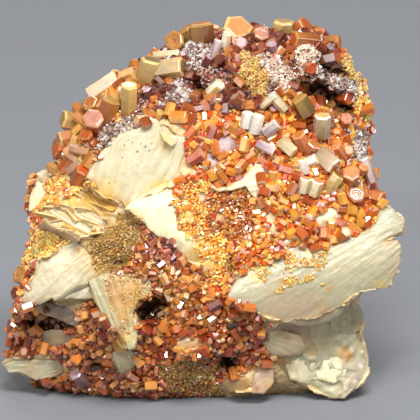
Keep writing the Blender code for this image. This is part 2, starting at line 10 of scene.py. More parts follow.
import bpy
import numpy as np
from mathutils import Matrix, Vector
from mathutils.bvhtree import BVHTree


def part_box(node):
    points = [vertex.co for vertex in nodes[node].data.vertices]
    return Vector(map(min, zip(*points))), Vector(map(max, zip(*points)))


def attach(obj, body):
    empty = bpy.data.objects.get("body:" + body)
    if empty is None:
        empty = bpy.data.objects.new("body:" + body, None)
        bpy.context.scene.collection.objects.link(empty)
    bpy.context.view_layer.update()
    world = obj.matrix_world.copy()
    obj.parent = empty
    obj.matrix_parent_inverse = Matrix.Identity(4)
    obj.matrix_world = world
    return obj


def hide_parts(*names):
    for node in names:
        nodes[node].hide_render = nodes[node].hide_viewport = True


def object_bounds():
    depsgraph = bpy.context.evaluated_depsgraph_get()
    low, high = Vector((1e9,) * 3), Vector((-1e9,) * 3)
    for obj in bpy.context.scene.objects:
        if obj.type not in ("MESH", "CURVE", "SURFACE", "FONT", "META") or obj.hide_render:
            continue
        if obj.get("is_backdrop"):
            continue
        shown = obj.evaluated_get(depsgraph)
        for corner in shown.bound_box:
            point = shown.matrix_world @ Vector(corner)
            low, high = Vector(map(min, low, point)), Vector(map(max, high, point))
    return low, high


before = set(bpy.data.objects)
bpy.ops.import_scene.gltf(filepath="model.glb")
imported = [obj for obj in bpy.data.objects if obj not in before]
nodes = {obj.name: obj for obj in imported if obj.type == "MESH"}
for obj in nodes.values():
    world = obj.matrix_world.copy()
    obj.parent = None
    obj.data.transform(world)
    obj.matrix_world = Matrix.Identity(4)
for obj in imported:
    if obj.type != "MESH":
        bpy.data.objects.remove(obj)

cad_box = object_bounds()
print("CAD nodes:", len(nodes))

# %% [markdown]
# ## Places on the specimen
# The specimen is laid out on a grid that leans back with its face. Columns count to the right,
# rows count down and depth counts in millimetres towards the viewer. One helper turns such a
# place into metres, and another goes back, so that a region of the face can be named by its
# outline and still follow the relief.

# %% The layout grid
MM = 0.001
GRID = 0.115 * MM
LEAN = math.radians(18)
MID_COLUMN, FOOT_ROW = 201.5, 400
SHIFT = np.array((0, 0.7 * MM, -2.3 * MM))
RIGHT = np.array((1.0, 0.0, 0.0))
UP = np.array((0.0, math.sin(LEAN), math.cos(LEAN)))
OUT = np.array((0.0, -math.cos(LEAN), math.sin(LEAN)))
FAR = 60  # a depth in mm well outside the specimen


def place(column, row, depth=0.0):
    """The world points at columns, rows and depths of the layout grid."""
    across = (np.asarray(column, float) - MID_COLUMN) * GRID
    up = (FOOT_ROW - np.asarray(row, float)) * GRID
    out = np.asarray(depth, float) * MM
    return across[..., None] * RIGHT + up[..., None] * UP + out[..., None] * OUT + SHIFT


def grid_of(points):
    """Columns, rows and depths of world points."""
    from_origin = points - SHIFT
    return (from_origin @ RIGHT / GRID + MID_COLUMN, FOOT_ROW - from_origin @ UP / GRID,
            from_origin @ OUT / MM)


print("the face looks along", OUT.round(3))

# %% [markdown]
# ## Camera and studio
# A long lens from about a metre keeps the prisms' edges parallel. Glassy crystals show mostly what
# they mirror, so the studio is one broad soft box above the face, a weaker one at each side and a
# pale floor. The small flat caps then flash where they happen to face a box.

# %% Camera
FRAME_WIDTH = 420 * GRID  # what the picture's width spans at the specimen
CAMERA_FAR = 0.9
SENSOR = 36
FACE_DEPTH = 10  # mm, where most of the face lies
target = Vector(place(210, 210, FACE_DEPTH))
camera_data = bpy.data.cameras.new("camera")
camera_data.sensor_width = SENSOR
camera_data.lens = SENSOR * CAMERA_FAR / FRAME_WIDTH
camera_data.clip_start = 0.01
camera_data.clip_end = 20
camera = bpy.data.objects.new("camera", camera_data)
camera.location = target + Vector(OUT) * CAMERA_FAR
camera.rotation_euler = Vector(OUT).to_track_quat("Z", "Y").to_euler()
bpy.context.scene.collection.objects.link(camera)
bpy.context.scene.camera = camera
print("lens", round(camera_data.lens), "mm")


# %% Lights and floor
def soft_box(name, right, up, out, size, power, colour=(1, 1, 1)):
    """An area light at a place given in metres from the face, pointing at it."""
    data = bpy.data.lights.new(name, "AREA")
    data.shape = "RECTANGLE"
    data.size, data.size_y = size
    data.energy = power
    data.color = colour
    light = bpy.data.objects.new(name, data)
    light.location = target + Vector((right, -out, up))
    light.rotation_euler = Vector((right, -out, up)).to_track_quat("Z", "Y").to_euler()
    bpy.context.scene.collection.objects.link(light)


soft_box("top box", 0.06, 0.46, 0.30, (0.26, 0.18), 3.9)
soft_box("small lamp", -0.12, 0.30, 0.42, (0.03, 0.03), 0.7)
soft_box("left box", -0.50, 0.22, 0.30, (0.16, 0.30), 0.9)
soft_box("right box", 0.46, 0.26, 0.22, (0.16, 0.30), 0.8, (0.93, 0.95, 1.0))
soft_box("back box", -0.10, 0.40, -0.50, (0.40, 0.20), 1.2)

world = bpy.data.worlds.new("studio")
world.use_nodes = True
world.node_tree.nodes["Background"].inputs["Color"].default_value = (1.0, 0.975, 0.93, 1)
world.node_tree.nodes["Background"].inputs["Strength"].default_value = 0.24
bpy.context.scene.world = world
bpy.context.scene.view_settings.view_transform = "Standard"

bpy.ops.object.select_all(action="DESELECT")
bpy.ops.mesh.primitive_grid_add(x_subdivisions=8, y_subdivisions=8, size=6)
floor = bpy.context.object
floor.name = "studio_floor"
floor_material = bpy.data.materials.new("pale floor")
floor_material.use_nodes = True
floor_shader = floor_material.node_tree.nodes["Principled BSDF"]
floor_shader.inputs["Base Color"].default_value = (0.205, 0.214, 0.232, 1)
floor_shader.inputs["Roughness"].default_value = 0.9
floor.data.materials.append(floor_material)
floor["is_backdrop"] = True
print("studio ready")

# %% [markdown]
# ## Tools for sculpting by formula
# Natural surfaces need noise at several scales, masks that follow outlines and colours laid on
# where something grew or stained. These helpers work on whole arrays of points at once, which is
# the scripted form of sculpting and of painting vertices.


# %% Noise and outlines
def soft_noise(points, size, seed=0):
    """Smooth random values from -1 to 1 that change over about size."""
    scaled = np.asarray(points) / size + seed * 19.7 + 100
    cell = np.floor(scaled).astype(np.int64)
    part = scaled - cell
    part = part * part * (3 - 2 * part)
    total = np.zeros(len(scaled))
    for corner in np.ndindex(2, 2, 2):
        key = (cell + corner) @ np.array((73856093, 19349663, 83492791))
        key = (key ^ (key >> 13)) * 1274126177 & 0x7FFFFFFF
        value = ((key ^ (key >> 16)) & 0xFFFF) / 32767.5 - 1
        total += value * np.prod(np.where(corner, part, 1 - part), axis=1)
    return total


def layered_noise(points, size, seed=0, layers=3):
    """Soft noise with finer, weaker noise on top of it."""
    total, share = 0, 1.0
    for layer in range(layers):
        total = total + share * soft_noise(points, size / 2**layer, seed + layer)
        share *= 0.55
    return total


def inside_outline(columns, rows, outline):
    """Which places lie inside an outline."""
    within = np.zeros(len(columns), bool)
    for (x0, y0), (x1, y1) in zip(outline, outline[1:] + outline[:1]):
        if y0 != y1:
            crosses = (y0 > rows) != (y1 > rows)
            within ^= crosses & (columns < (x1 - x0) * (rows - y0) / (y1 - y0) + x0)
    return within


def rim_distance(columns, rows, outline):
    """How far in mm places lie inside an outline, negative outside it."""
    nearest = np.full(len(columns), np.inf)
    for (x0, y0), (x1, y1) in zip(outline, outline[1:] + outline[:1]):
        along = np.array((x1 - x0, y1 - y0), float)
        share = ((columns - x0) * along[0] + (rows - y0) * along[1]) / max(along @ along, 1e-9)
        share = np.clip(share, 0, 1)
        away = np.hypot(columns - x0 - share * along[0], rows - y0 - share * along[1])
        nearest = np.minimum(nearest, away)
    return np.where(inside_outline(columns, rows, outline), nearest, -nearest) * GRID / MM


def ramp(values, low, high):
    """0 below low, 1 above high, and smooth between."""
    share = np.clip((values - low) / (high - low), 0, 1)
    return share * share * (3 - 2 * share)


def blend(colours, other, share):
    """The colours with a share of another laid over them."""
    return colours * (1 - share) + other * share


def spot_distance(columns, rows, column, row):
    """How far in mm places lie from a place on the grid."""
    return np.hypot(columns - column, rows - row) * GRID / MM


def linear(*colour):
    """A colour given as screen values from 0 to 255, as the linear values that shaders take."""
    share = np.array(colour, float) / 255
    return np.where(share <= 0.04045, share / 12.92, ((share + 0.055) / 1.055) ** 2.4)


print("noise check", soft_noise(np.array(((0.1, 0.2, 0.3),)), 1.0).round(3))


# %% Mesh helpers
def points_of(obj, kind="co"):
    flat = np.empty(len(obj.data.vertices) * 3)
    obj.data.vertices.foreach_get(kind, flat)
    return flat.reshape(-1, 3)


def move_points(obj, points):
    obj.data.vertices.foreach_set("co", np.ascontiguousarray(points).ravel())
    obj.data.update()


def paint_points(obj, colours):
    """Stores a colour for each vertex, which the materials read as tint."""
    layer = obj.data.color_attributes.new("tint", "FLOAT_COLOR", "POINT")
    layer.data.foreach_set("color", np.c_[colours, np.ones(len(colours))].ravel())


def pick_only(obj):
    bpy.ops.object.select_all(action="DESELECT")
    obj.select_set(True)
    bpy.context.view_layer.objects.active = obj


def apply_modifiers(obj):
    pick_only(obj)
    for modifier in list(obj.modifiers):
        bpy.ops.object.modifier_apply(modifier=modifier.name)


def remesh(obj, voxel):
    """Rebuilds a closed shape from even small squares, ready to be sculpted."""
    modifier = obj.modifiers.new("remesh", "REMESH")
    modifier.mode = "VOXEL"
    modifier.voxel_size = voxel
    apply_modifiers(obj)


def join_all(name, pieces):
    """Joins several objects into the first."""
    bpy.ops.object.select_all(action="DESELECT")
    for piece in pieces:
        piece.select_set(True)
    bpy.context.view_layer.objects.active = pieces[0]
    if len(pieces) > 1:
        bpy.ops.object.join()
    pieces[0].name = name
    return pieces[0]


def triangles(obj):
    return sum(len(face.vertices) - 2 for face in obj.data.polygons)


def stand_in(obj, finish, slot, *replaced):
    """Gives a finished piece its material and hides the solids it stands for."""
    points = points_of(obj)
    points[:, 2] = np.maximum(points[:, 2], 0)
    move_points(obj, points)
    obj.data.materials.clear()
    obj.data.materials.append(finish)
    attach(obj, "root")
    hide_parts(*replaced)
    print(f"{obj.name}: {triangles(obj)} triangles")
    return obj


# %% [markdown]
# ## Finishes
# Every finish starts from colours that the code lays on the mesh, and adds a fine mottling and a
# fine bump. Those two are the same effect at other scales, so they are one node group. Baryte is
# creamy and lets light in, vanadinite has a very high index of refraction and mirrors like resin,
# and the rusty crust between them is dull and rough.


# %% Shared grain
def grain_group():
    """A node group that gives a mottling value round 1 and a normal for small bumps."""
    group = bpy.data.node_groups.new("mineral grain", "ShaderNodeTree")
    for name, low in (("Size", 400.0), ("Contrast", 0.3), ("Bump", 0.3), ("Lift", 0.00005)):
        socket = group.interface.new_socket(name, in_out="INPUT", socket_type="NodeSocketFloat")
        socket.default_value = low
    group.interface.new_socket("Mottle", in_out="OUTPUT", socket_type="NodeSocketFloat")
    group.interface.new_socket("Normal", in_out="OUTPUT", socket_type="NodeSocketVector")
    tree = group.nodes, group.links
    entry, leave = tree[0].new("NodeGroupInput"), tree[0].new("NodeGroupOutput")
    where = tree[0].new("ShaderNodeTexCoord")
    noise = tree[0].new("ShaderNodeTexNoise")
    noise.inputs["Detail"].default_value = 5
    noise.inputs["Roughness"].default_value = 0.6
    spread = tree[0].new("ShaderNodeMapRange")
    spread.inputs["From Min"].default_value = 0.3
    spread.inputs["From Max"].default_value = 0.7
    low, high = tree[0].new("ShaderNodeMath"), tree[0].new("ShaderNodeMath")
    low.operation, high.operation = "SUBTRACT", "ADD"
    low.inputs[0].default_value = high.inputs[0].default_value = 1
    bump = tree[0].new("ShaderNodeBump")
    link = tree[1].new
    link(where.outputs["Object"], noise.inputs["Vector"])
    link(entry.outputs["Size"], noise.inputs["Scale"])
    link(noise.outputs["Fac"], spread.inputs["Value"])
    link(entry.outputs["Contrast"], low.inputs[1])
    link(entry.outputs["Contrast"], high.inputs[1])
    link(low.outputs[0], spread.inputs["To Min"])
    link(high.outputs[0], spread.inputs["To Max"])
    link(noise.outputs["Fac"], bump.inputs["Height"])
    link(entry.outputs["Bump"], bump.inputs["Strength"])
    link(entry.outputs["Lift"], bump.inputs["Distance"])
    link(spread.outputs["Result"], leave.inputs["Mottle"])
    link(bump.outputs["Normal"], leave.inputs["Normal"])
    return group


GRAIN = grain_group()


def mineral(name, size, contrast, bump, lift):
    """A material whose colour is the painted tint times the grain; returns it and its shader."""
    made = bpy.data.materials.new(name)
    made.use_nodes = True
    tree = made.node_tree
    shader = tree.nodes["Principled BSDF"]
    grain = tree.nodes.new("ShaderNodeGroup")
    grain.node_tree = GRAIN
    grain.inputs["Size"].default_value = size
    grain.inputs["Contrast"].default_value = contrast
    grain.inputs["Bump"].default_value = bump
    grain.inputs["Lift"].default_value = lift
    tint = tree.nodes.new("ShaderNodeVertexColor")
    tint.layer_name = "tint"
    times = tree.nodes.new("ShaderNodeVectorMath")
    times.operation = "SCALE"
    tree.links.new(tint.outputs["Color"], times.inputs[0])
    tree.links.new(grain.outputs["Mottle"], times.inputs["Scale"])
    tree.links.new(times.outputs[0], shader.inputs["Base Color"])
    tree.links.new(grain.outputs["Normal"], shader.inputs["Normal"])
    return made, shader


def set_inputs(node, **values):
    """Sets constants on a node's sockets; an underscore in a name stands for a space."""
    for name, value in values.items():
        node.inputs[name.replace("_", " ")].default_value = value


def glow(shader, weight, scale, radius):
    """How far light travels under the surface."""
    shader.inputs["Subsurface Weight"].default_value = weight
    shader.inputs["Subsurface Scale"].default_value = scale
    shader.inputs["Subsurface Radius"].default_value = radius


baryte, baryte_shader = mineral("baryte", 900, 0.05, 0.35, 0.00006)
glow(baryte_shader, 0.5, 0.9 * MM, (1.0, 0.85, 0.6))
set_inputs(baryte_shader, Roughness=0.42, IOR=1.64)

rock, rock_shader = mineral("rusty matrix", 1500, 0.28, 0.7, 0.00012)
set_inputs(rock_shader, Roughness=0.62, IOR=1.6)

vanadinite, vanadinite_shader = mineral("vanadinite", 1300, 0.16, 0.25, 0.00003)
glow(vanadinite_shader, 0.55, 0.45 * MM, (1.0, 0.38, 0.10))
set_inputs(vanadinite_shader, Coat_Weight=0.15, Coat_Roughness=0.05, IOR=1.8)
frost = vanadinite.node_tree.nodes.new("ShaderNodeAttribute")
frost.attribute_name = "frost"
vanadinite.node_tree.links.new(frost.outputs["Fac"], vanadinite_shader.inputs["Roughness"])

sugar, sugar_shader = mineral("sugary crust", 2200, 0.2, 0.5, 0.00005)
glow(sugar_shader, 0.3, 0.3 * MM, (1.0, 0.7, 0.4))
set_inputs(sugar_shader, Roughness=0.4, IOR=1.7)
print("finishes:", [m.name for m in (baryte, rock, vanadinite, sugar)])

# %% [markdown]
# ## Palette
# The colours are few, and each has a name. Crystals take a side colour, a cap colour and a darker
# colour at the root. The root colour is painted shade, where they are buried among others and hardly
# any light comes out, and the caps' paler colours are partly their own and partly painted sheen.

# %% Colours
CREAM, WHITE = linear(212, 198, 160), linear(232, 220, 180)
GREENISH, PINKISH = linear(174, 168, 138), linear(184, 156, 128)
OCHRE, YELLOW = linear(190, 138, 60), linear(222, 186, 100)
OLIVE, RUST = linear(140, 104, 48), linear(156, 78, 32)
TAN = linear(194, 154, 100)
GREY, KHAKI = linear(140, 128, 112), linear(168, 160, 124)
LILAC, IVORY = linear(196, 176, 172), linear(206, 196, 162)


def palette(*colours):
    return [linear(*colour) for colour in colours]


STYLES = {
    # sides, caps, root; the root colour is painted shade, and the pale caps are partly painted sheen
    "orange": (
        palette((230, 124, 26), (214, 92, 16), (240, 158, 56), (200, 76, 14), (244, 180, 80), (184, 64, 14)),
        palette((246, 178, 92), (250, 200, 128), (238, 146, 60), (230, 160, 112), (254, 230, 186), (222, 186, 186)),
        linear(150, 48, 12),
    ),
    "amber": (
        palette((202, 138, 46), (188, 106, 30), (218, 156, 66), (184, 92, 26), (228, 138, 40), (170, 76, 24)),
        palette((232, 196, 132), (248, 228, 186), (222, 160, 90), (220, 186, 190), (250, 240, 224)),
        linear(128, 42, 12),
    ),
    "yellow": (
        palette((244, 166, 54), (250, 192, 92), (236, 138, 38), (252, 216, 140)),
        palette((254, 226, 154), (250, 200, 112)),
        linear(196, 96, 24),
    ),
    "sprinkled": (
        palette((226, 168, 72), (240, 196, 108), (214, 146, 56)),
        palette((250, 222, 150), (240, 200, 120)),
        linear(200, 150, 70),
    ),
    "brown": (
        palette((168, 82, 24), (138, 56, 16), (198, 120, 46), (218, 150, 70)),
        palette((214, 152, 92), (232, 200, 160), (196, 122, 58)),
        linear(70, 26, 10),
    ),
    "mauve": (
        palette((156, 74, 48), (172, 92, 64), (112, 46, 30), (196, 120, 88)),
        palette((206, 152, 136), (194, 130, 104), (226, 200, 200)),
        linear(58, 24, 16),
    ),
    "bottom": (
        palette((192, 90, 28), (160, 60, 18), (214, 126, 48), (132, 44, 14), (228, 156, 78)),
        palette((232, 158, 90), (210, 130, 80), (244, 206, 164)),
        linear(76, 24, 8),
    ),
    "red brown": (
        palette((170, 84, 36), (134, 56, 24), (200, 118, 56), (120, 56, 30), (216, 142, 72)),
        palette((206, 140, 98), (214, 170, 144), (190, 112, 66)),
        linear(54, 22, 14),
    ),
    "tan": (
        palette((206, 152, 78), (186, 118, 48), (216, 136, 56), (160, 78, 28)),
        palette((222, 184, 118), (238, 204, 164), (230, 172, 128)),
        linear(96, 42, 16),
    ),
    "olive": (
        palette((166, 118, 48), (188, 144, 68), (142, 94, 36), (206, 166, 90)),
        palette((196, 156, 84), (214, 180, 112)),
        linear(140, 92, 36),
    ),
    "blade": (
        palette((236, 204, 138), (242, 224, 176), (228, 186, 104), (238, 216, 164)),
        palette((246, 232, 190), (236, 208, 146)),
        linear(222, 176, 98),
    ),
    "straw": (
        palette((252, 208, 100), (254, 224, 138), (246, 184, 68), (248, 170, 58)),
        palette((254, 236, 160), (250, 214, 130)),
        linear(232, 172, 70),
    ),
    # darker crystal colours for the top rim: partly their own dark red, partly painted shade of that band
    "dark red": (
        palette((128, 50, 22), (104, 38, 18), (160, 82, 38), (190, 118, 58), (92, 34, 20)),
        palette((208, 140, 94), (182, 110, 78), (228, 196, 180)),
        linear(56, 18, 10),
    ),
    "glitter": (
        palette((192, 178, 166), (166, 144, 128), (218, 208, 196), (122, 84, 66), (88, 50, 36)),
        palette((250, 244, 236), (216, 202, 192), (180, 150, 132)),
        linear(48, 20, 14),
    ),
    "dark glitter": (
        palette((116, 48, 32), (92, 36, 24), (146, 76, 50), (178, 128, 112), (74, 28, 20)),
        palette((200, 160, 146), (160, 92, 68), (240, 226, 220)),
        linear(44, 18, 12),
    ),
    "yellow sugar": (
        palette((206, 158, 72), (188, 138, 54), (226, 192, 112), (166, 112, 48)),
        palette((242, 216, 146), (218, 182, 104)),
        linear(150, 98, 40),
    ),
    "white sugar": (
        palette((208, 182, 154), (190, 158, 134), (230, 214, 192), (168, 124, 100)),
        palette((250, 242, 228), (226, 206, 188)),
        linear(96, 48, 30),
    ),
}
print("crystal styles:", len(STYLES))

# %% [markdown]
# ## Blades of baryte
# Baryte grows as thick plates. Where they break out of the specimen they show a slightly domed
# face, ribs that fan out from where the plate grew, stacked layers along the broken rim and rusty
# stains in the hollows. Each plate starts as its outline, extruded into a slab and rebuilt from
# small squares. The squares are then moved by formula: down onto the matrix, up into the dome, and
# in and out along the ribs and the layers. One list holds every outline, so that the rock can be
# hollowed under the same plates.

# %% Outlines of the plates
# name: outline, where the ribs fan out from, dome mm, rib mm, ribs across a full turn, rise mm, tint
PLATES = {
    "flake": (
        [(87, 178), (90, 172), (95, 163), (100, 155), (105, 149), (110, 145), (116, 140), (120, 135), (126, 133),
         (134, 130), (141, 127), (148, 121), (153, 118), (158, 121), (161, 127), (164, 133), (176, 136), (185, 137),
         (187, 148), (184, 156), (181, 163), (180, 172), (183, 178), (170, 188), (156, 197), (140, 206), (128, 210),
         (122, 204), (117, 200), (108, 198), (101, 196), (98, 188), (92, 182)],
        (75, 330), 0.45, 0.035, 150, 0.35, IVORY,
    ),
    "flake_tip": (
        [(158, 128), (164, 122), (168, 120), (171, 126), (177, 134), (179, 142), (172, 147), (164, 141)],
        (150, 190), 0.15, 0.04, 120, 0.4, CREAM,
    ),
    "tail": (
        [(124, 209), (138, 198), (154, 188), (168, 180), (183, 172), (182, 188), (179, 197), (179, 208), (177, 215),
         (177, 223), (180, 229), (186, 233), (192, 239), (195, 247), (202, 250), (209, 256), (204, 262), (192, 264),
         (184, 258), (178, 251), (172, 244), (166, 239), (158, 236), (151, 231), (146, 224), (141, 216), (134, 213)],
        (196, 120), 0.5, 0.09, 120, 0.2, WHITE,
    ),
    # This plate's tint is cream darkened to 0.76: painted shade over the lower left.
    "lower_left": (
        [(40, 258), (50, 256), (58, 251), (62, 247), (70, 242), (80, 239), (85, 246), (89, 252), (100, 255),
         (104, 262), (106, 270), (97, 277), (91, 281), (93, 290), (96, 298), (84, 299), (70, 298), (60, 299),
         (52, 298), (40, 304), (28, 304), (20, 301), (22, 294), (28, 288), (32, 280), (37, 272), (39, 265)],
        (150, 205), 0.5, 0.09, 90, 0.25, CREAM * 0.76,
    ),
    "lower_left_step": (
        [(54, 300), (66, 291), (78, 284), (90, 281), (94, 297), (80, 300), (66, 301)],
        (140, 250), 0.3, 0.05, 60, 0.5, GREENISH,
    ),
    "strip": (
        [(39, 222), (48, 225), (60, 230), (72, 233), (82, 240), (70, 244), (60, 240), (48, 234), (41, 229)],
        (120, 262), 0.35, 0.04, 60, 0.55, PINKISH,
    ),
    "leaf_low": (
        [(62, 219), (74, 220), (92, 228), (104, 236), (98, 242), (84, 236), (68, 228)],
        (30, 200), 0.2, 0.08, 110, 0.3, YELLOW,
    ),
    "leaf_mid": (
        [(48, 209), (60, 208), (80, 218), (96, 228), (90, 235), (72, 226), (54, 218)],
        (20, 190), 0.2, 0.08, 110, 0.45, CREAM,
    ),
    "leaf_long": (
        [(74, 206), (90, 210), (112, 222), (106, 230), (88, 224), (72, 214)],
        (40, 180), 0.2, 0.08, 110, 0.55, CREAM,
    ),
    "leaf_high": (
        [(62, 201), (72, 192), (90, 200), (112, 214), (104, 218), (84, 208), (66, 208)],
        (50, 160), 0.2, 0.07, 110, 0.65, YELLOW,
    ),
    "leaf_top": (
        [(68, 188), (78, 184), (92, 190), (104, 200), (122, 204), (114, 212), (94, 204), (76, 196)],
        (60, 150), 0.2, 0.07, 110, 0.5, YELLOW,
    ),
    "grey": (
        [(34, 302), (50, 302), (62, 305), (74, 309), (78, 318), (82, 328), (72, 326), (60, 320), (48, 316), (38, 310)],
        (120, 300), 0.3, 0.03, 60, 0.15, GREY,
    ),
    "grey_low": (
        [(38, 334), (52, 329), (66, 331), (78, 335), (76, 342), (62, 346), (48, 349), (38, 344)],
        (120, 330), 0.3, 0.03, 60, 0.1, GREY,
    ),
    "fan": (
        [(89, 280), (100, 275), (108, 272), (120, 275), (135, 277), (150, 278), (153, 287), (149, 297), (140, 299),
         (136, 306), (134, 313), (137, 321), (140, 329), (138, 339), (136, 348), (129, 349), (125, 339), (119, 332),
         (112, 329), (105, 318), (100, 308), (95, 298), (92, 288)],
        (140, 385), 0.4, 0.09, 120, 0.4, GREENISH * np.array((0.93, 0.93, 0.8)),
    ),
    "ochre_lump": (
        [(103, 340), (111, 331), (120, 331), (127, 340), (127, 351), (116, 354), (104, 351)],
        (115, 400), 0.7, 0.12, 60, 0.6, OCHRE,
    ),
    "pale_lump": (
        [(103, 353), (114, 350), (127, 349), (139, 347), (144, 353), (136, 363), (134, 371), (126, 377), (113, 373),
         (107, 363)],
        (110, 330), 0.8, 0.06, 50, 0.55, CREAM,
    ),
    "small_bottom": (
        [(170, 344), (175, 336), (183, 330), (197, 331), (207, 336), (211, 343), (206, 351), (190, 355), (177, 351)],
        (230, 330), 0.6, 0.06, 60, 0.45, TAN,
    ),
    "bottom_left": (
        [(2, 365), (12, 360), (28, 357), (44, 360), (56, 359), (68, 367), (62, 374), (48, 380), (34, 380), (18, 373),
         (8, 373)],
        (100, 360), 0.5, 0.06, 60, 0.3, GREENISH,
    ),
    "bottom_left_chip": (
        [(15, 336), (24, 332), (31, 341), (36, 353), (25, 358), (16, 353)],
        (60, 350), 0.4, 0.05, 60, 0.3, CREAM,
    ),
    "shelf": (
        [(254, 316), (270, 318), (292, 318), (312, 316), (332, 310), (344, 302), (352, 301), (361, 307), (364, 316),
         (361, 328), (365, 340), (368, 352), (369, 364), (367, 374), (359, 385), (351, 393), (344, 399), (330, 399),
         (317, 393), (304, 387), (290, 380), (280, 370), (274, 361), (268, 346), (260, 332)],
        (290, 440), 0.4, 0.035, 90, 0.1, GREENISH,
    ),
    "block_high": (
        [(337, 330), (338, 315), (342, 305), (352, 301), (361, 307), (364, 316), (361, 331), (348, 336)],
        (350, 400), 0.5, 0.03, 40, 0.3, KHAKI,
    ),
    "right_mass": (
        [(368, 230), (375, 221), (379, 211), (386, 202), (391, 207), (405, 222), (402, 232), (388, 238),
         (384, 241.5), (397, 240), (401, 246), (400, 258), (398, 269), (392, 280), (389, 287), (376, 289.5),
         (362, 291), (352, 296), (345, 304), (340, 314), (328, 321), (312, 325), (296, 325), (280, 321),
         (264, 316), (252, 310), (238, 303), (227, 297), (230, 288), (238, 277), (246, 267), (262, 261),
         (280, 258), (284, 246), (296, 238), (312, 246), (326, 248), (338, 244), (346, 235), (356, 233)],
        (470, 190), 0.6, 0.045, 130, 0.3, GREENISH * 0.94,
    ),
    "lump_left": (
        [(285, 366), (289, 358), (298, 354), (309, 355), (320, 361), (322, 371), (315, 381), (302, 384), (290, 380)],
        (310, 330), 0.7, 0.05, 40, 0.3, WHITE * 0.9,
    ),
    "lump_mid": (
        [(312, 364), (318, 357), (328, 354), (339, 357), (348, 363), (347, 376), (334, 384), (318, 380)],
        (330, 320), 0.7, 0.05, 40, 0.4, WHITE,
    ),
    "pale_blade": (
        [(261, 339), (268, 331), (279, 328), (292, 333), (302, 338), (306, 347), (299, 354), (287, 356), (273, 355),
         (263, 349)],
        (240, 330), 0.5, 0.05, 60, 0.6, CREAM,
    ),
    "bottom_bit": (
        [(218, 381), (230, 376), (246, 378), (252, 386), (244, 393), (230, 392)],
        (235, 340), 0.5, 0.05, 40, 0.3, TAN,
    ),
    "bottom_tooth": (
        [(250, 384), (255, 373), (264, 366), (274, 370), (274, 383), (264, 394), (252, 394)],
        (262, 340), 0.5, 0.05, 40, 0.4, PINKISH,
    ),
    "left_edge": (
        [(27, 211), (28, 200), (32, 189), (38, 181), (45, 184), (46, 196), (42, 208), (36, 213)],
        (45, 320), 0.4, 0.05, 60, 0.2, WHITE,
    ),
    "wishbone": (
        [(211, 184), (217, 188), (230, 186), (242, 178), (250, 169), (256, 164), (262, 165), (264, 172), (257, 180),
         (258, 190), (256, 201), (250, 194), (244, 186), (232, 191), (219, 192), (211, 188)],
        (200, 200), 0.2, 0.06, 90, 1.2, CREAM,
    ),
}
BACK_PLATES = {
    "back_upper": (
        [(146, 206), (158, 184), (180, 168), (208, 156), (240, 150), (262, 158), (252, 176), (226, 188), (196, 204),
         (166, 216)],
        (60, 330), 0.3, 0.05, 150, 0.2, CREAM,
    ),
    "back_upper_step": (
        [(196, 212), (216, 192), (244, 178), (268, 172), (276, 186), (262, 204), (236, 218), (210, 226)],
        (100, 330), 0.3, 0.05, 130, 0.4, GREENISH,
    ),
    "back_right": (
        [(256, 276), (270, 250), (292, 228), (318, 216), (338, 222), (346, 238), (330, 256), (306, 272), (280, 290),
         (262, 290)],
        (180, 400), 0.3, 0.05, 150, 0.2, GREENISH,
    ),
    "back_right_step": (
        [(282, 300), (296, 276), (318, 262), (340, 256), (352, 266), (346, 284), (326, 298), (300, 310), (286, 310)],
        (200, 400), 0.3, 0.05, 130, 0.4, CREAM,
    ),
    "back_low": (
        [(216, 340), (234, 318), (262, 304), (296, 300), (322, 310), (326, 326), (302, 338), (268, 348), (234, 354)],
        (60, 420), 0.3, 0.05, 150, 0.2, CREAM,
    ),
    "back_left": (
        [(64, 262), (74, 238), (92, 220), (116, 212), (130, 224), (128, 244), (110, 262), (88, 280), (70, 280)],
        (0, 360), 0.3, 0.05, 130, 0.2, CREAM,
    ),
}
print("plates:", len(PLATES), "on the face,", len(BACK_PLATES), "on the back")

# %% [markdown]
# ## Laying a plate on the matrix
# A plate has to lie where the solid matrix has it. Rays shot at the matrix inside the outline give
# depths, and the smooth surface that fits them best is the plate's own base shape.

# %% Base shape of a plate
matrix_data = nodes["baryte_matrix"].data
matrix_tree = BVHTree.FromPolygons([v.co.copy() for v in matrix_data.vertices],
                                   [tuple(p.vertices) for p in matrix_data.polygons])
FIT_STEP = 5  # columns and rows between the rays


def curve_terms(columns, rows, middle):
    x, y = (columns - middle[0]) / 50, (rows - middle[1]) / 50
    return np.stack((np.ones_like(x), x, y, x * x, x * y, y * y), axis=-1)


def lay_on_matrix(outline, side):
    """The middle of an outline and the terms of the surface that fits the matrix inside it."""
    corners = np.array(outline, float)
    middle = corners.mean(axis=0)
    columns, rows = np.meshgrid(np.arange(corners[:, 0].min(), corners[:, 0].max(), FIT_STEP),
                                np.arange(corners[:, 1].min(), corners[:, 1].max(), FIT_STEP))
    columns, rows = columns.ravel(), rows.ravel()
    within = rim_distance(columns, rows, outline) > 0.25
    columns, rows = columns[within], rows[within]
    spots, depths = [], []
    for column, row in zip(columns, rows):
        start = Vector(place(column, row, side * FAR))
        hit, _, _, distance = matrix_tree.ray_cast(start, Vector(-side * OUT))
        if hit is not None:
            spots.append((column, row))
            depths.append(side * (FAR - distance / MM))
    spots = np.array(spots)
    terms = curve_terms(spots[:, 0], spots[:, 1], middle)
    count = 6 if len(spots) > 25 else 3 if len(spots) > 5 else 1
    fitted = np.zeros(6)
    fitted[:count] = np.linalg.lstsq(terms[:, :count], np.array(depths), rcond=None)[0]
    return middle, fitted


print("flake lies at", lay_on_matrix(PLATES["flake"][0], 1)[1].round(2), "mm")

# %% [markdown]
# ## Stains
# Iron stains baryte yellow and brown in soft patches. Each patch is a spot with a radius, a colour
# and a strength, roughened by noise so that no rim is round.

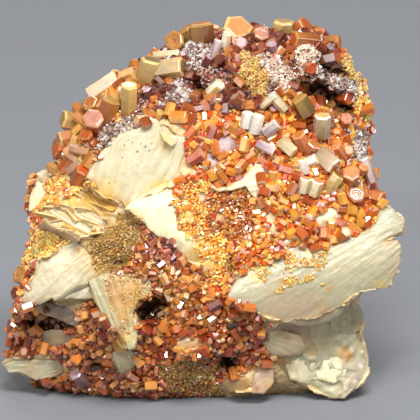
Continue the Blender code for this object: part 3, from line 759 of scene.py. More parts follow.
# %% Stains on the baryte
# column, row, radius mm, colour, strength
STAINS = (
    (158, 187, 0.7, YELLOW, 0.75), (166, 183, 0.6, YELLOW, 0.8), (148, 191, 0.6, YELLOW, 0.45),
    (92, 184, 0.6, OCHRE, 0.9), (99, 193, 0.9, OCHRE, 0.8), (108, 199, 0.9, OCHRE, 0.8),
    (117, 204, 0.9, OCHRE, 0.8), (124, 207, 0.6, OCHRE, 0.8), (106, 190, 1.4, YELLOW, 0.6),
    (112, 146, 0.7, TAN, 0.5), (166, 142, 0.8, YELLOW, 0.6), (164, 149, 0.5, OCHRE, 0.5),
    (95, 165, 0.5, TAN, 0.4), (185, 170, 0.6, YELLOW, 0.5),
    (92, 257, 1.5, YELLOW, 0.45), (79, 250, 0.35, OCHRE, 0.9), (86, 253, 0.35, OCHRE, 0.5),
    (100, 264, 0.7, YELLOW, 0.6), (98, 270, 0.6, OCHRE, 0.6), (60, 262, 1.2, WHITE, 0.5),
    (36, 300, 1.2, GREY, 0.35), (78, 292, 0.8, GREY, 0.4),
    (118, 284, 1.5, OCHRE, 0.8), (138, 286, 1.5, OCHRE, 0.85), (130, 302, 1.3, OCHRE, 0.8),
    (118, 302, 1.0, OCHRE, 0.7), (112, 286, 0.6, RUST, 0.5), (124, 318, 1.0, OCHRE, 0.7),
    (128, 336, 0.8, YELLOW, 0.6), (114, 268, 0.8, OLIVE, 0.6), (122, 328, 0.5, RUST, 0.5),
    (130, 368, 0.8, GREY, 0.5), (118, 356, 0.8, WHITE, 0.5), (196, 345, 0.7, TAN, 0.5), (186, 338, 0.6, GREY, 0.4),
    (253, 276, 0.6, YELLOW, 0.9), (260, 279, 0.5, YELLOW, 0.7), (281, 282, 0.5, OCHRE, 0.9),
    (311, 277, 0.45, OCHRE, 0.9), (328, 288, 0.4, OCHRE, 0.8), (307, 253, 0.5, YELLOW, 0.8),
    (275, 292, 1.2, TAN, 0.25), (290, 308, 2.0, PINKISH, 0.6), (306, 314, 1.8, PINKISH, 0.6),
    (268, 310, 1.2, PINKISH, 0.4), (305, 296, 0.8, PINKISH, 0.4), (322, 306, 1.0, TAN, 0.4),
    (340, 262, 3.0, CREAM, 0.4), (376, 250, 2.4, CREAM, 0.4), (250, 290, 1.4, CREAM, 0.3), (388, 243, 0.6, TAN, 0.7),
    (378, 285, 0.8, YELLOW, 0.4), (395, 262, 1.0, PINKISH, 0.3), (392, 276, 0.8, TAN, 0.4),
    (347, 355, 0.7, RUST, 0.75), (347, 347, 0.35, OLIVE, 0.9), (340, 352, 0.5, YELLOW, 0.6),
    (287, 337, 0.4, OCHRE, 0.8), (325, 340, 1.0, YELLOW, 0.35), (355, 322, 1.0, OLIVE, 0.15),
    (364, 366, 0.8, GREY, 0.5), (366, 348, 0.6, TAN, 0.5), (312, 352, 0.6, YELLOW, 0.5),
    (352, 382, 1.0, PINKISH, 0.5), (340, 392, 0.8, TAN, 0.3), (300, 372, 0.9, WHITE, 0.5),
    (270, 384, 0.8, TAN, 0.5), (256, 388, 0.5, RUST, 0.5), (230, 384, 0.9, PINKISH, 0.4),
    (60, 370, 0.9, RUST, 0.35), (30, 366, 0.9, TAN, 0.5), (28, 344, 0.7, OCHRE, 0.3),
    (60, 314, 0.8, RUST, 0.25), (40, 208, 0.8, YELLOW, 0.4), (58, 338, 1.0, TAN, 0.5), (300, 330, 2.0, PINKISH, 0.5),
    (276, 326, 1.4, TAN, 0.4), (330, 340, 1.6, KHAKI, 0.7), (350, 318, 1.4, KHAKI, 0.8), (346, 356, 0.8, OCHRE, 0.8),
    (362, 376, 0.9, GREY, 0.7), (352, 392, 1.0, GREY, 0.6), (318, 390, 1.0, KHAKI, 0.5), (284, 362, 0.9, OCHRE, 0.6),
    (306, 342, 0.9, TAN, 0.6), (192, 254, 1.0, YELLOW, 0.8), (202, 258, 0.8, YELLOW, 0.9), (108, 224, 0.8, OLIVE, 0.8),
    (84, 200, 0.8, OCHRE, 0.5), (96, 214, 0.7, OCHRE, 0.6), (66, 214, 0.6, OCHRE, 0.5),
)
# column, row, radius mm of the black specks on the flake
SPECKS = ((138, 152, 0.12), (146, 147, 0.12), (133, 143, 0.08), (150, 151, 0.09), (141, 144, 0.08), (129, 141, 0.07),
          (123, 158, 0.08), (125, 146, 0.09), (152, 144, 0.06), (133, 167, 0.07), (110, 183, 0.08), (154, 149, 0.06))
SPECK_COLOUR = linear(92, 78, 58)


def stained(colours, columns, rows, points):
    """The colours with every stain laid over them."""
    ragged = 1 + 0.5 * layered_noise(points, 0.7 * MM, 31)
    for column, row, radius, colour, strength in STAINS:
        far = spot_distance(columns, rows, column, row)
        share = (strength * np.exp(-((far / radius) ** 2)) * ragged).clip(0, 1)[:, None]
        colours = blend(colours, colour, share)
    for column, row, radius in SPECKS:
        far = spot_distance(columns, rows, column, row)
        share = ramp(-far, -radius * 1.6, -radius * 0.6)[:, None]
        colours = blend(colours, SPECK_COLOUR, share)
    return colours


print("stains:", len(STAINS), "and", len(SPECKS), "specks")

# %% [markdown]
# ## Making a plate
# The rim of a broken plate shows its layers like the edge of a stack of paper, so the walls move in
# and out in thin bands. The outline itself is roughened first, because no break is smooth.

# %% Sculpting a plate
PLATE_VOXEL = 0.14 * MM
PLATE_THICK = 2.4 * MM
RIM_STEP = 0.3 * MM  # length of one side of the roughened outline
LAYER = 0.28 * MM  # thickness of one layer in a broken rim
LUMPY = {"baryte_shelf": 0.5, "baryte_lump_left": 0.3, "baryte_lump_mid": 0.3, "baryte_pale_lump": 0.3,
         "baryte_bottom_tooth": 0.3, "baryte_block_high": 0.25}  # height in mm of the round lumps on a plate
LOWERED = 0.2  # mm that a plate lies under the solid's own face, so that the druse laps over its rim


def roughened(outline, middle, amount, seed):
    """The outline in metres round its middle, cut into short sides and pushed in and out."""
    corners = (np.array(outline, float) - middle) * (GRID, -GRID)
    dense = []
    for here, there in zip(corners, np.roll(corners, -1, axis=0)):
        steps = max(1, round(np.linalg.norm(there - here) / RIM_STEP))
        dense += [here + (there - here) * k / steps for k in range(steps)]
    flat = np.c_[np.array(dense), np.zeros(len(dense))]
    push = np.stack([layered_noise(flat, 0.9 * MM, seed + axis) for axis in (0, 1)], axis=1)
    return flat[:, :2] + push * amount


def plate(name, line, side=1, thick=PLATE_THICK, seed=1):
    """One plate of baryte, laid on the matrix, sculpted and stained."""
    outline, focus, dome, rib, count, rise, tint = line
    middle, fitted = lay_on_matrix(outline, side)
    rim = roughened(outline, middle, 0.09 * MM, seed)
    mesh = bpy.data.meshes.new(name)
    mesh.from_pydata([(x, y, 0) for x, y in rim], [], [list(range(len(rim)))])
    obj = bpy.data.objects.new(name, mesh)
    bpy.context.scene.collection.objects.link(obj)
    pick_only(obj)
    bpy.ops.object.mode_set(mode="EDIT")
    bpy.ops.mesh.select_all(action="SELECT")
    bpy.ops.mesh.extrude_region_move(TRANSFORM_OT_translate={"value": (0, 0, -thick)})
    bpy.ops.mesh.select_all(action="SELECT")
    bpy.ops.mesh.normals_make_consistent(inside=False)
    bpy.ops.object.mode_set(mode="OBJECT")
    remesh(obj, PLATE_VOXEL)

    points, normals = points_of(obj), points_of(obj, "normal")
    layers = np.abs(((points[:, 2] / LAYER + 0.8 * soft_noise(points, 1.2 * MM, seed)) % 1) - 0.5)
    wall = ramp(1 - np.abs(normals[:, 2]), 0.3, 0.8)
    points[:, :2] += normals[:, :2] * ((0.25 - layers) * 0.18 * MM * wall)[:, None]
    columns = middle[0] + points[:, 0] / GRID
    rows = middle[1] - points[:, 1] / GRID
    inside = np.maximum(rim_distance(columns, rows, outline), 0)
    share = np.clip(1 + points[:, 2] / thick, 0, 1)
    angle = np.arctan2(rows - focus[1], columns - focus[0]) * count / (2 * math.pi)
    reach = np.hypot(columns - focus[0], rows - focus[1]) * GRID / (4 * MM)
    fanned = np.c_[angle * 1.6, reach, np.zeros(len(angle))]
    ribs = soft_noise(fanned, 1.0, seed) + 0.5 * soft_noise(fanned, 0.45, seed + 5)
    swell = layered_noise(points, 2.6 * MM, seed + 9)
    relief = 0.5 * dome * (1 - np.exp(-inside / 1.6)) - 0.12 * np.exp(-inside / 0.10)
    relief += rib * ribs * (1 + 1.2 * np.exp(-inside / 0.8)) + 0.05 * swell
    relief += 0.03 * layered_noise(points, 0.45 * MM, seed + 13)
    relief -= LUMPY.get(name, 0.02) * np.sqrt(np.abs(layered_noise(points, 1.5 * MM, 40, 2)) + 0.01)
    depth = curve_terms(columns, rows, middle) @ fitted * side + rise - LOWERED + share * relief + points[:, 2] / MM
    world = place(columns, rows, side * depth)
    move_points(obj, world)
    if side < 0:
        obj.data.flip_normals()

    colours = np.tile(tint, (len(world), 1))
    # The tint follows the ribs and swells, paler on the crests and darker and yellower in the grooves: partly the
    # stone's own banding, partly painted shade of the relief.
    colours *= (1 + np.outer(0.08 * ribs + 0.05 * swell, (0.7, 1.0, 1.5))).clip(0.5, 1.15)
    edge = (np.exp(-inside / 0.3) * (0.25 + 0.4 * layered_noise(world, 1.1 * MM, seed + 3))).clip(0, 0.8)
    edge = np.maximum(edge, 0.45 * ramp(1 - share, 0.12, 0.5))[:, None]
    colours = blend(colours, TAN, edge)
    if side > 0:
        colours = stained(colours, columns, rows, world)
    else:
        rust = (0.5 * ramp(layered_noise(world, 2.2 * MM, seed + 21), 0.1, 0.9))[:, None]
        colours = blend(colours, OCHRE, rust)
    paint_points(obj, colours)
    return obj


plates = []
for number, (name, line) in enumerate(PLATES.items()):
    plates.append(plate("baryte_" + name, line, seed=number + 1))
for number, (name, line) in enumerate(BACK_PLATES.items()):
    plates.append(plate("baryte_" + name, line, side=-1, seed=number + 51))
for piece in plates:
    stand_in(piece, baryte, "baryte", "baryte_matrix")

# %% [markdown]
# ## Where each druse grows
# The druse differs from place to place, so each kind has an outline on the face. The rock is
# painted by them first, and the crystals are thrown inside them later.

# %% Outlines of the druse
RIM = [(146, 92), (142, 68), (160, 48), (176, 30), (200, 16), (236, 14), (268, 24), (312, 18), (344, 38),
       (356, 60), (354, 102), (330, 98), (300, 94), (276, 98), (246, 104), (226, 108), (190, 108), (160, 108)]
LEFT_RIM = [(50, 178), (52, 150), (58, 118), (80, 96), (104, 76), (140, 62), (148, 94), (186, 88), (178, 118),
            (160, 116), (132, 126), (116, 134), (98, 156), (88, 176), (66, 196)]
UPPER_RIGHT = [(184, 92), (230, 66), (266, 67), (300, 60), (326, 62), (352, 70), (366, 100), (378, 120), (372, 150),
               (380, 190), (386, 204), (366, 232), (342, 244), (306, 250), (282, 236), (262, 196), (238, 178),
               (204, 178), (186, 160), (190, 132)]
CENTRE = [(180, 182), (200, 178), (234, 180), (256, 204), (272, 236), (312, 244), (262, 264), (240, 270),
          (228, 294), (204, 292), (204, 262), (192, 236), (178, 226), (174, 200)]
FINE_YELLOW = [(176, 200), (188, 186), (204, 186), (208, 210), (206, 234), (204, 258), (196, 246), (186, 232)]
FINE_LOW = [(200, 240), (218, 236), (232, 262), (226, 284), (206, 292), (203, 264)]
FINE_BROWN = [(206, 190), (246, 196), (256, 214), (250, 234), (232, 240), (212, 238), (206, 212)]
MAUVE = [(108, 268), (106, 250), (124, 222), (142, 226), (160, 240), (182, 256), (198, 268), (206, 292),
         (196, 316), (160, 324), (142, 314), (138, 300), (156, 292), (152, 276)]
MAUVE_TOP = [(130, 236), (140, 224), (152, 232), (168, 240), (180, 252), (174, 262), (156, 258), (138, 252)]
BOTTOM = [(138, 322), (160, 316), (190, 314), (204, 292), (228, 296), (248, 306), (268, 326), (300, 332),
          (300, 350), (284, 362), (272, 366), (240, 374), (220, 378), (214, 398), (132, 394), (128, 374),
          (140, 362), (136, 346)]
LOWER_LEFT = [(2, 310), (36, 304), (62, 322), (94, 300), (118, 336), (108, 352), (114, 374), (136, 376), (130, 394),
              (84, 398), (30, 402), (10, 384), (44, 384), (70, 374), (68, 364), (38, 350), (2, 362)]
LEFT_FRINGE = [(2, 312), (0, 286), (8, 258), (22, 250), (38, 256), (32, 276), (20, 298), (34, 306)]
YELLOW_CRUST = [(8, 234), (24, 222), (40, 226), (62, 236), (66, 246), (40, 256), (24, 262), (8, 258)]
THIN_BLADES = [(54, 190), (70, 180), (100, 190), (122, 206), (118, 224), (98, 238), (66, 232), (48, 212)]
BLADE_FOCUS = (140, 226)  # the thin blades fan out from here
BOTRYOIDAL = [(38, 206), (44, 178), (66, 170), (88, 178), (96, 192), (60, 198), (46, 216)]
OLIVE_CRUST = [(92, 236), (112, 222), (128, 212), (140, 222), (142, 244), (130, 262), (108, 272), (98, 262), (84, 244)]
OLIVE_LOW = [(160, 360), (190, 356), (216, 362), (216, 394), (166, 394)]
FAN_GRAINS = [(106, 276), (150, 278), (154, 292), (134, 304), (130, 330), (116, 318), (110, 296)]
CLUSTERS = [(244, 272), (250, 266), (258, 274), (268, 270), (274, 284), (288, 280), (284, 272), (300, 270), (312, 264),
            (322, 254), (334, 256), (322, 264), (316, 278), (330, 286), (322, 290), (306, 282), (292, 288),
            (278, 290), (262, 284), (250, 284)]
BANDED = [(236, 268), (262, 256), (284, 250), (312, 250), (318, 258), (302, 262), (308, 276), (296, 278),
          (280, 268), (262, 270), (252, 278), (240, 278)]
LUMP_SILVER = [(183, 40), (192, 34), (202, 38), (209, 48), (210, 62), (203, 72), (192, 66), (184, 54)]
LUMP_SILVER_LOW = [(164, 90), (174, 82), (184, 84), (190, 96), (180, 104), (168, 102)]
LUMP_SILVER_LEFT = [(138, 94), (146, 92), (150, 100), (148, 108), (140, 107)]
LUMP_DARK = [(184, 62), (196, 62), (212, 70), (228, 74), (226, 86), (206, 84), (190, 82), (178, 84), (180, 72)]
STRIP_SILVER = [(92, 150), (100, 138), (106, 126), (116, 118), (132, 116), (146, 108), (148, 114), (136, 124),
                (120, 132), (110, 142), (100, 152)]
OBLONG = [(236, 52), (248, 49), (256, 56), (262, 70), (268, 88), (264, 98), (254, 92), (244, 80), (237, 66)]
ROD_WHITE = [(256, 50), (264, 50), (278, 62), (296, 76), (292, 84), (280, 82), (268, 70), (258, 60)]
ROD_PINK = [(262, 72), (270, 72), (286, 84), (288, 94), (278, 92), (266, 80)]
LUMP_TOP = [(298, 44), (308, 41), (316, 48), (318, 60), (314, 70), (304, 72), (296, 62)]
RIDGE = [(314, 64), (322, 68), (336, 76), (350, 86), (360, 92), (352, 96), (338, 92), (326, 82), (316, 74)]
LUMP_GLASSY = [(336, 88), (350, 90), (354, 100), (346, 106), (336, 100)]
COAT_YELLOW = [(340, 56), (350, 48), (358, 62), (364, 78), (368, 90), (354, 90), (346, 78), (340, 68)]
LUMP_RIGHT = [(338, 38), (346, 36), (354, 44), (352, 56), (342, 58), (332, 50)]
EDGE_SILVER = [(352, 90), (364, 90), (374, 100), (380, 112), (374, 126), (360, 118), (354, 104)]
EDGE_LOW = [(350, 124), (368, 126), (374, 136), (372, 150), (364, 162), (354, 156), (350, 140)]
MIDDLE_SUGAR = [(204, 82), (212, 80), (222, 92), (236, 92), (240, 104), (230, 112), (216, 104), (206, 94)]
# the other sides: depth in mm and row, or column and depth in mm on top
LEFT_SIDE = [(9, 312), (10, 270), (9, 210), (6, 176), (0, 176), (-2, 230), (-3, 290), (0, 312)]
RIGHT_SIDE = [(-1, 200), (9, 200), (10, 150), (9, 100), (7, 72), (2, 72), (0, 120), (-2, 160)]
TOP_SIDE = [(190, 4), (206, 7), (250, 8), (304, 8), (330, 5), (318, 1), (270, 0), (220, 0)]
BACK_HIGH = [(116, 142), (156, 100), (230, 78), (304, 86), (336, 140), (328, 200), (282, 222), (272, 180),
             (256, 150), (228, 144), (174, 162), (144, 194), (116, 188)]
BACK_LOW = [(80, 302), (138, 258), (198, 258), (220, 300), (208, 346), (138, 350), (88, 340)]
print("druse outlines ready")

# %% [markdown]
# ## The rock between the plates
# Under the crystals the matrix is a rusty, lumpy mass with hollows, which are painted darker as shade.
# It is rebuilt from a copy of the solid matrix, which keeps its size and its flat foot, and then pushed
# out and in by noise. It sinks away under each plate, so the plates keep their broken rims, and into
# the hollows.

# %% The rock
ROCK_VOXEL = 0.33 * MM
# outline of a hollow on the face, painted dark as shade, and its depth in mm
HOLLOWS = (
    ([(290, 80), (306, 78), (322, 80), (340, 92), (352, 104), (352, 118), (338, 118), (320, 106), (300, 96)], 2.6),
    ([(314, 58), (326, 62), (346, 70), (350, 80), (334, 78), (316, 68)], 1.8),
    ([(190, 80), (200, 80), (208, 86), (206, 100), (194, 98)], 2.0),
    ([(228, 74), (234, 74), (248, 88), (250, 98), (238, 94), (228, 86)], 1.6),
    ([(268, 80), (276, 84), (274, 96), (266, 92)], 1.4),
    ([(182, 72), (200, 74), (206, 80), (190, 82)], 1.0),
    ([(216, 60), (228, 62), (230, 72), (218, 70)], 1.0),
    ([(282, 60), (296, 62), (300, 72), (288, 70)], 1.0),
    ([(134, 296), (150, 292), (168, 294), (172, 304), (158, 322), (144, 324), (134, 310)], 2.6),
    ([(216, 350), (236, 350), (242, 362), (232, 374), (217, 368)], 2.4),
    ([(18, 318), (44, 315), (60, 317), (78, 328), (60, 332), (20, 332)], 2.4),
    ([(88, 354), (104, 356), (106, 369), (92, 372)], 1.8),
    ([(112, 258), (126, 258), (128, 266), (114, 266)], 0.8),
    ([(226, 250), (236, 252), (236, 276), (226, 276)], 1.0),
    ([(258, 100), (272, 100), (276, 118), (260, 120)], 0.9),
    ([(300, 120), (312, 120), (314, 134), (300, 132)], 0.9),
    ([(316, 138), (330, 138), (330, 146), (318, 146)], 0.8),
)
# swells of the face: from, to, width mm, height mm
SWELLS = (
    ((240, 54), (262, 90), 1.9, 1.1),
    ((262, 50), (290, 78), 1.1, 0.7),
    ((268, 76), (284, 90), 0.8, 0.6),
    ((190, 40), (206, 66), 1.6, 0.8),
    ((168, 88), (186, 98), 1.2, 0.7),
    ((184, 68), (202, 72), 0.9, 0.6),
    ((330, 44), (352, 66), 1.5, 0.8),
    ((300, 50), (314, 68), 1.5, 0.7),
    ((318, 70), (352, 92), 1.2, 0.5),
    ((210, 86), (234, 108), 1.0, 0.7),
    ((60, 196), (120, 226), 1.2, 0.5),
    ((96, 236), (128, 244), 1.8, 0.7),
    ((20, 244), (56, 246), 1.6, 0.7),
)
# patches of the face where the baryte shows between crystals: column, row, radius mm, colour
WINDOWS = (
    (225, 144, 1.0, LILAC), (212, 160, 0.8, LILAC), (202, 197, 0.6, CREAM), (332, 216, 1.0, WHITE),
    (300, 243, 1.0, WHITE), (322, 220, 0.8, WHITE), (288, 245, 0.8, WHITE), (188, 214, 0.6, YELLOW),
    (210, 264, 0.7, YELLOW), (232, 324, 0.8, GREY), (219, 217, 0.6, TAN), (214, 128, 0.5, LILAC),
)
pick_only(nodes["baryte_matrix"])
rock_piece = bpy.data.objects.new("matrix_rock", matrix_data.copy())
bpy.context.scene.collection.objects.link(rock_piece)
pick_only(rock_piece)
bpy.ops.object.mode_set(mode="EDIT")
bpy.ops.mesh.select_all(action="SELECT")
bpy.ops.mesh.remove_doubles(threshold=1e-6)
bpy.ops.object.mode_set(mode="OBJECT")
remesh(rock_piece, ROCK_VOXEL)
soften = rock_piece.modifiers.new("soften", "SMOOTH")
soften.factor = 0.5
soften.iterations = 6
apply_modifiers(rock_piece)


def line_distance(columns, rows, start, end):
    """How far in mm places lie from a line on the grid."""
    along = np.array(end, float) - start
    share = np.clip(((columns - start[0]) * along[0] + (rows - start[1]) * along[1]) / (along @ along), 0, 1)
    return np.hypot(columns - start[0] - share * along[0], rows - start[1] - share * along[1]) * GRID / MM


points, normals = points_of(rock_piece), points_of(rock_piece, "normal")
columns, rows, depths = grid_of(points)
facing = ramp(normals @ OUT, 0.05, 0.45)
backing = ramp(-(normals @ OUT), 0.05, 0.45)
above_foot = ramp(points[:, 2], 0.2 * MM, 1.5 * MM)
rough = 0.34 * layered_noise(points, 2.6 * MM, 3) + 0.13 * layered_noise(points, 0.8 * MM, 8)
steps = (points @ np.array((0.35, 0.2, 0.9)) / (1.5 * MM) + 0.7 * soft_noise(points, 4 * MM, 4)) % 1
rough += (1 - facing) * 0.30 * (steps - 0.5)
points = points + normals * (rough * above_foot * MM)[:, None]
sink = np.zeros(len(points))
for outline, deep in HOLLOWS:
    sink = np.maximum(sink, deep * ramp(rim_distance(columns, rows, outline), -0.3, 0.7))
hollow = np.clip(sink, 0, 1)
collar = np.zeros(len(points))
for name, line in PLATES.items():
    inside = rim_distance(columns, rows, line[0])
    sink = np.maximum(sink, 1.2 * ramp(inside, 0.0, 0.5))
    collar = np.maximum(collar, ramp(inside, -1.8, -0.3) * ramp(-inside, -0.1, 0.2))
sink = sink - 0.25 * collar * (1 - hollow)
for start, end, width, height in SWELLS:
    sink = sink - height * np.exp(-((line_distance(columns, rows, start, end) / width) ** 2))
under_back = np.zeros(len(points))
for name, line in BACK_PLATES.items():
    under_back = np.maximum(under_back, 1.0 * ramp(rim_distance(columns, rows, line[0]), -0.35, 0.35))
points -= OUT * ((facing * sink - backing * under_back) * above_foot * MM)[:, None]
points[:, 2] = np.where(points[:, 2] < 0.15 * MM, 0, points[:, 2])
move_points(rock_piece, points)

# pale and stained where no druse grew, rusty between the crystals, and darkened in the hollows as painted shade
# outline and colour of the ground under each druse
GROUNDS = (
    (RIM, (88, 38, 22)), (LEFT_RIM, (134, 70, 30)), (UPPER_RIGHT, (136, 56, 20)), (CENTRE, (160, 90, 38)),
    (MAUVE, (104, 62, 42)), (BOTTOM, (112, 56, 26)), (LOWER_LEFT, (92, 46, 30)), (LEFT_FRINGE, (118, 64, 30)),
    (YELLOW_CRUST, (214, 168, 92)), (BOTRYOIDAL, (196, 130, 56)), (OLIVE_CRUST, (152, 120, 62)),
    (OLIVE_LOW, (142, 110, 54)),
)
colours = np.tile(linear(206, 184, 138), (len(points), 1))
stain = ramp(layered_noise(points, 3.2 * MM, 12), -0.2, 0.7)[:, None]
colours = colours * (1 - 0.6 * stain) + linear(172, 130, 74) * 0.6 * stain
pale = ramp(layered_noise(points, 4.0 * MM, 15), 0.1, 0.6)[:, None] * 0.8
colours = blend(colours, linear(222, 208, 174), pale)
ragged = 0.5 * layered_noise(points, 1.2 * MM, 17)
for outline, colour in GROUNDS:
    share = (ramp(rim_distance(columns, rows, outline) + ragged, -0.1, 0.5) * facing)[:, None]
    colours = blend(colours, linear(*colour), share)
near_plate = (0.8 * ramp(collar + 0.3 * ragged, 0.55, 0.95) * facing)[:, None]
colours = blend(colours, linear(206, 176, 124), near_plate)
for column, row, radius, colour in WINDOWS:
    far = spot_distance(columns, rows, column, row)
    share = (np.exp(-((far / radius) ** 2)) * facing * 1.3).clip(0, 1)[:, None]
    colours = blend(colours, colour, share)
# Painted shade: the rock is darkened in the hollows.
colours = colours * (1 - 0.85 * (hollow * facing)[:, None])
colours *= (1 + 0.18 * layered_noise(points, 0.9 * MM, 22))[:, None]
paint_points(rock_piece, colours.clip(0.004, 1))
stand_in(rock_piece, rock, "baryte", "baryte_matrix")

# %% [markdown]
# ## One small crystal, modelled once
# A small crystal is a short six-sided prism with sloping faces round a flat cap at each end. It is
# modelled once with a cylinder, insets and moves, and its corners are kept as arrays. Thousands of
# copies are then turned, stretched and joined in one mesh, which costs far less than thousands
# of objects.


# %% The crystal to copy
def crystal_template(rim, drop, sunk):
    """A hexagonal prism of width 1 and height 1 round the origin, as points, faces and what each face is."""
    bpy.ops.object.select_all(action="DESELECT")
    bpy.ops.mesh.primitive_cylinder_add(vertices=6, radius=0.5, depth=1 - 2 * drop)
    obj = bpy.context.object
    for end in (1, -1):
        bpy.ops.object.mode_set(mode="EDIT")
        bpy.ops.mesh.select_mode(type="FACE")
        bpy.ops.mesh.select_all(action="DESELECT")
        bpy.ops.object.mode_set(mode="OBJECT")
        for face in obj.data.polygons:
            face.select = face.normal.z * end > 0.9
        bpy.ops.object.mode_set(mode="EDIT")
        bpy.ops.mesh.inset(thickness=rim)
        bpy.ops.transform.translate(value=(0, 0, drop * end))
        if sunk and end == 1:
            bpy.ops.mesh.inset(thickness=rim * 1.3)
            bpy.ops.transform.translate(value=(0, 0, -sunk))
        bpy.ops.object.mode_set(mode="OBJECT")
    points = points_of(obj).copy()
    faces = [tuple(face.vertices) for face in obj.data.polygons]
    kinds = []
    for face in obj.data.polygons:
        steep = abs(face.normal.z)
        kinds.append("side" if steep < 0.1 else "cap" if steep > 0.95 else "rim")
    bpy.data.objects.remove(obj)
    return points, faces, kinds


PLAIN = crystal_template(0.09, 0.07, 0)
CUPPED = crystal_template(0.07, 0.05, 0.07)
print("faces of a small crystal:", len(PLAIN[1]), "or", len(CUPPED[1]))


# %% Many crystals in one mesh
# Painted highlights: side faces with more luck than this take most of the pale cap colour, as glints.
PAINTED_GLINT_FACES = 0.82  # the faces with more luck than this are as pale as a cap
# Painted shade: a crystal's corners near the ground take the darker root colour, fading out between these heights.
ROOT_SHADE_FROM, ROOT_SHADE_TO = -0.25, 0.42  # heights over the ground, in widths, between which the root colour ends


def bases(axes, turns):
    """Matrices that stand a crystal along each axis and turn it about that axis."""
    helper = np.where(np.abs(axes[:, 2:3]) < 0.9, (0.0, 0.0, 1.0), (1.0, 0.0, 0.0))
    across = np.cross(helper, axes)
    across /= np.linalg.norm(across, axis=1, keepdims=True)
    other = np.cross(axes, across)
    cos, sin = np.cos(turns)[:, None], np.sin(turns)[:, None]
    return np.stack((cos * across + sin * other, cos * other - sin * across, axes), axis=2)


def crystal_mesh(name, crop, template):
    """A mesh of copies of a template. A crop holds middles, axes, turns, sizes and colours, one row each."""
    shape, faces, kinds = template
    count = len(crop["middle"])
    stretch = np.stack((crop["width"], crop["width"] * crop["flat"], crop["length"]), axis=1)
    turned = np.einsum("nij,nvj->nvi", bases(crop["axis"], crop["turn"]), shape[None] * stretch[:, None])
    points = turned + crop["middle"][:, None]
    height = np.einsum("nvi,ni->nv", points - crop["spot"][:, None], crop["normal"]) / crop["width"][:, None]
    # lit is the share of the surface colour; below it the root colour paints the shade between buried crystals.
    lit = ramp(height, ROOT_SHADE_FROM, ROOT_SHADE_TO)[:, :, None]
    mesh = bpy.data.meshes.new(name)
    starts = (np.arange(count) * len(shape))[:, None]
    polygons, colours, frosts = [], [], []
    for number, (face, kind) in enumerate(zip(faces, kinds)):
        polygons += (np.array(face)[None] + starts).tolist()
        tone = (crop["luck"] * 7.3 + number * 0.381) % 1
        # painted glints: a few side faces, chosen by luck, take three quarters of the pale cap colour
        own = {"side": 0.75 * (tone > PAINTED_GLINT_FACES), "rim": 0.5, "cap": 1.0}[kind] + 0 * tone
        own = own[:, None]
        surface = ((1 - own) * crop["side"] + own * crop["cap"]) * (0.82 + 0.32 * tone)[:, None]
        light = lit[:, list(face)]
        colours.append((crop["root"][:, None] * (1 - light) + surface[:, None] * light).reshape(-1, 3))
        gloss = 0.10 if kind == "side" else 0.17
        frosts.append(np.repeat(gloss + 0.14 * crop["luck"], len(face)))
    mesh.from_pydata(points.reshape(-1, 3), [], polygons)
    tints = np.concatenate(colours)
    layer = mesh.color_attributes.new("tint", "FLOAT_COLOR", "CORNER")
    layer.data.foreach_set("color", np.c_[tints, np.ones(len(tints))].ravel())
    layer = mesh.attributes.new("frost", "FLOAT", "CORNER")
    layer.data.foreach_set("value", np.concatenate(frosts))
    obj = bpy.data.objects.new(name, mesh)
    bpy.context.scene.collection.objects.link(obj)
    return obj
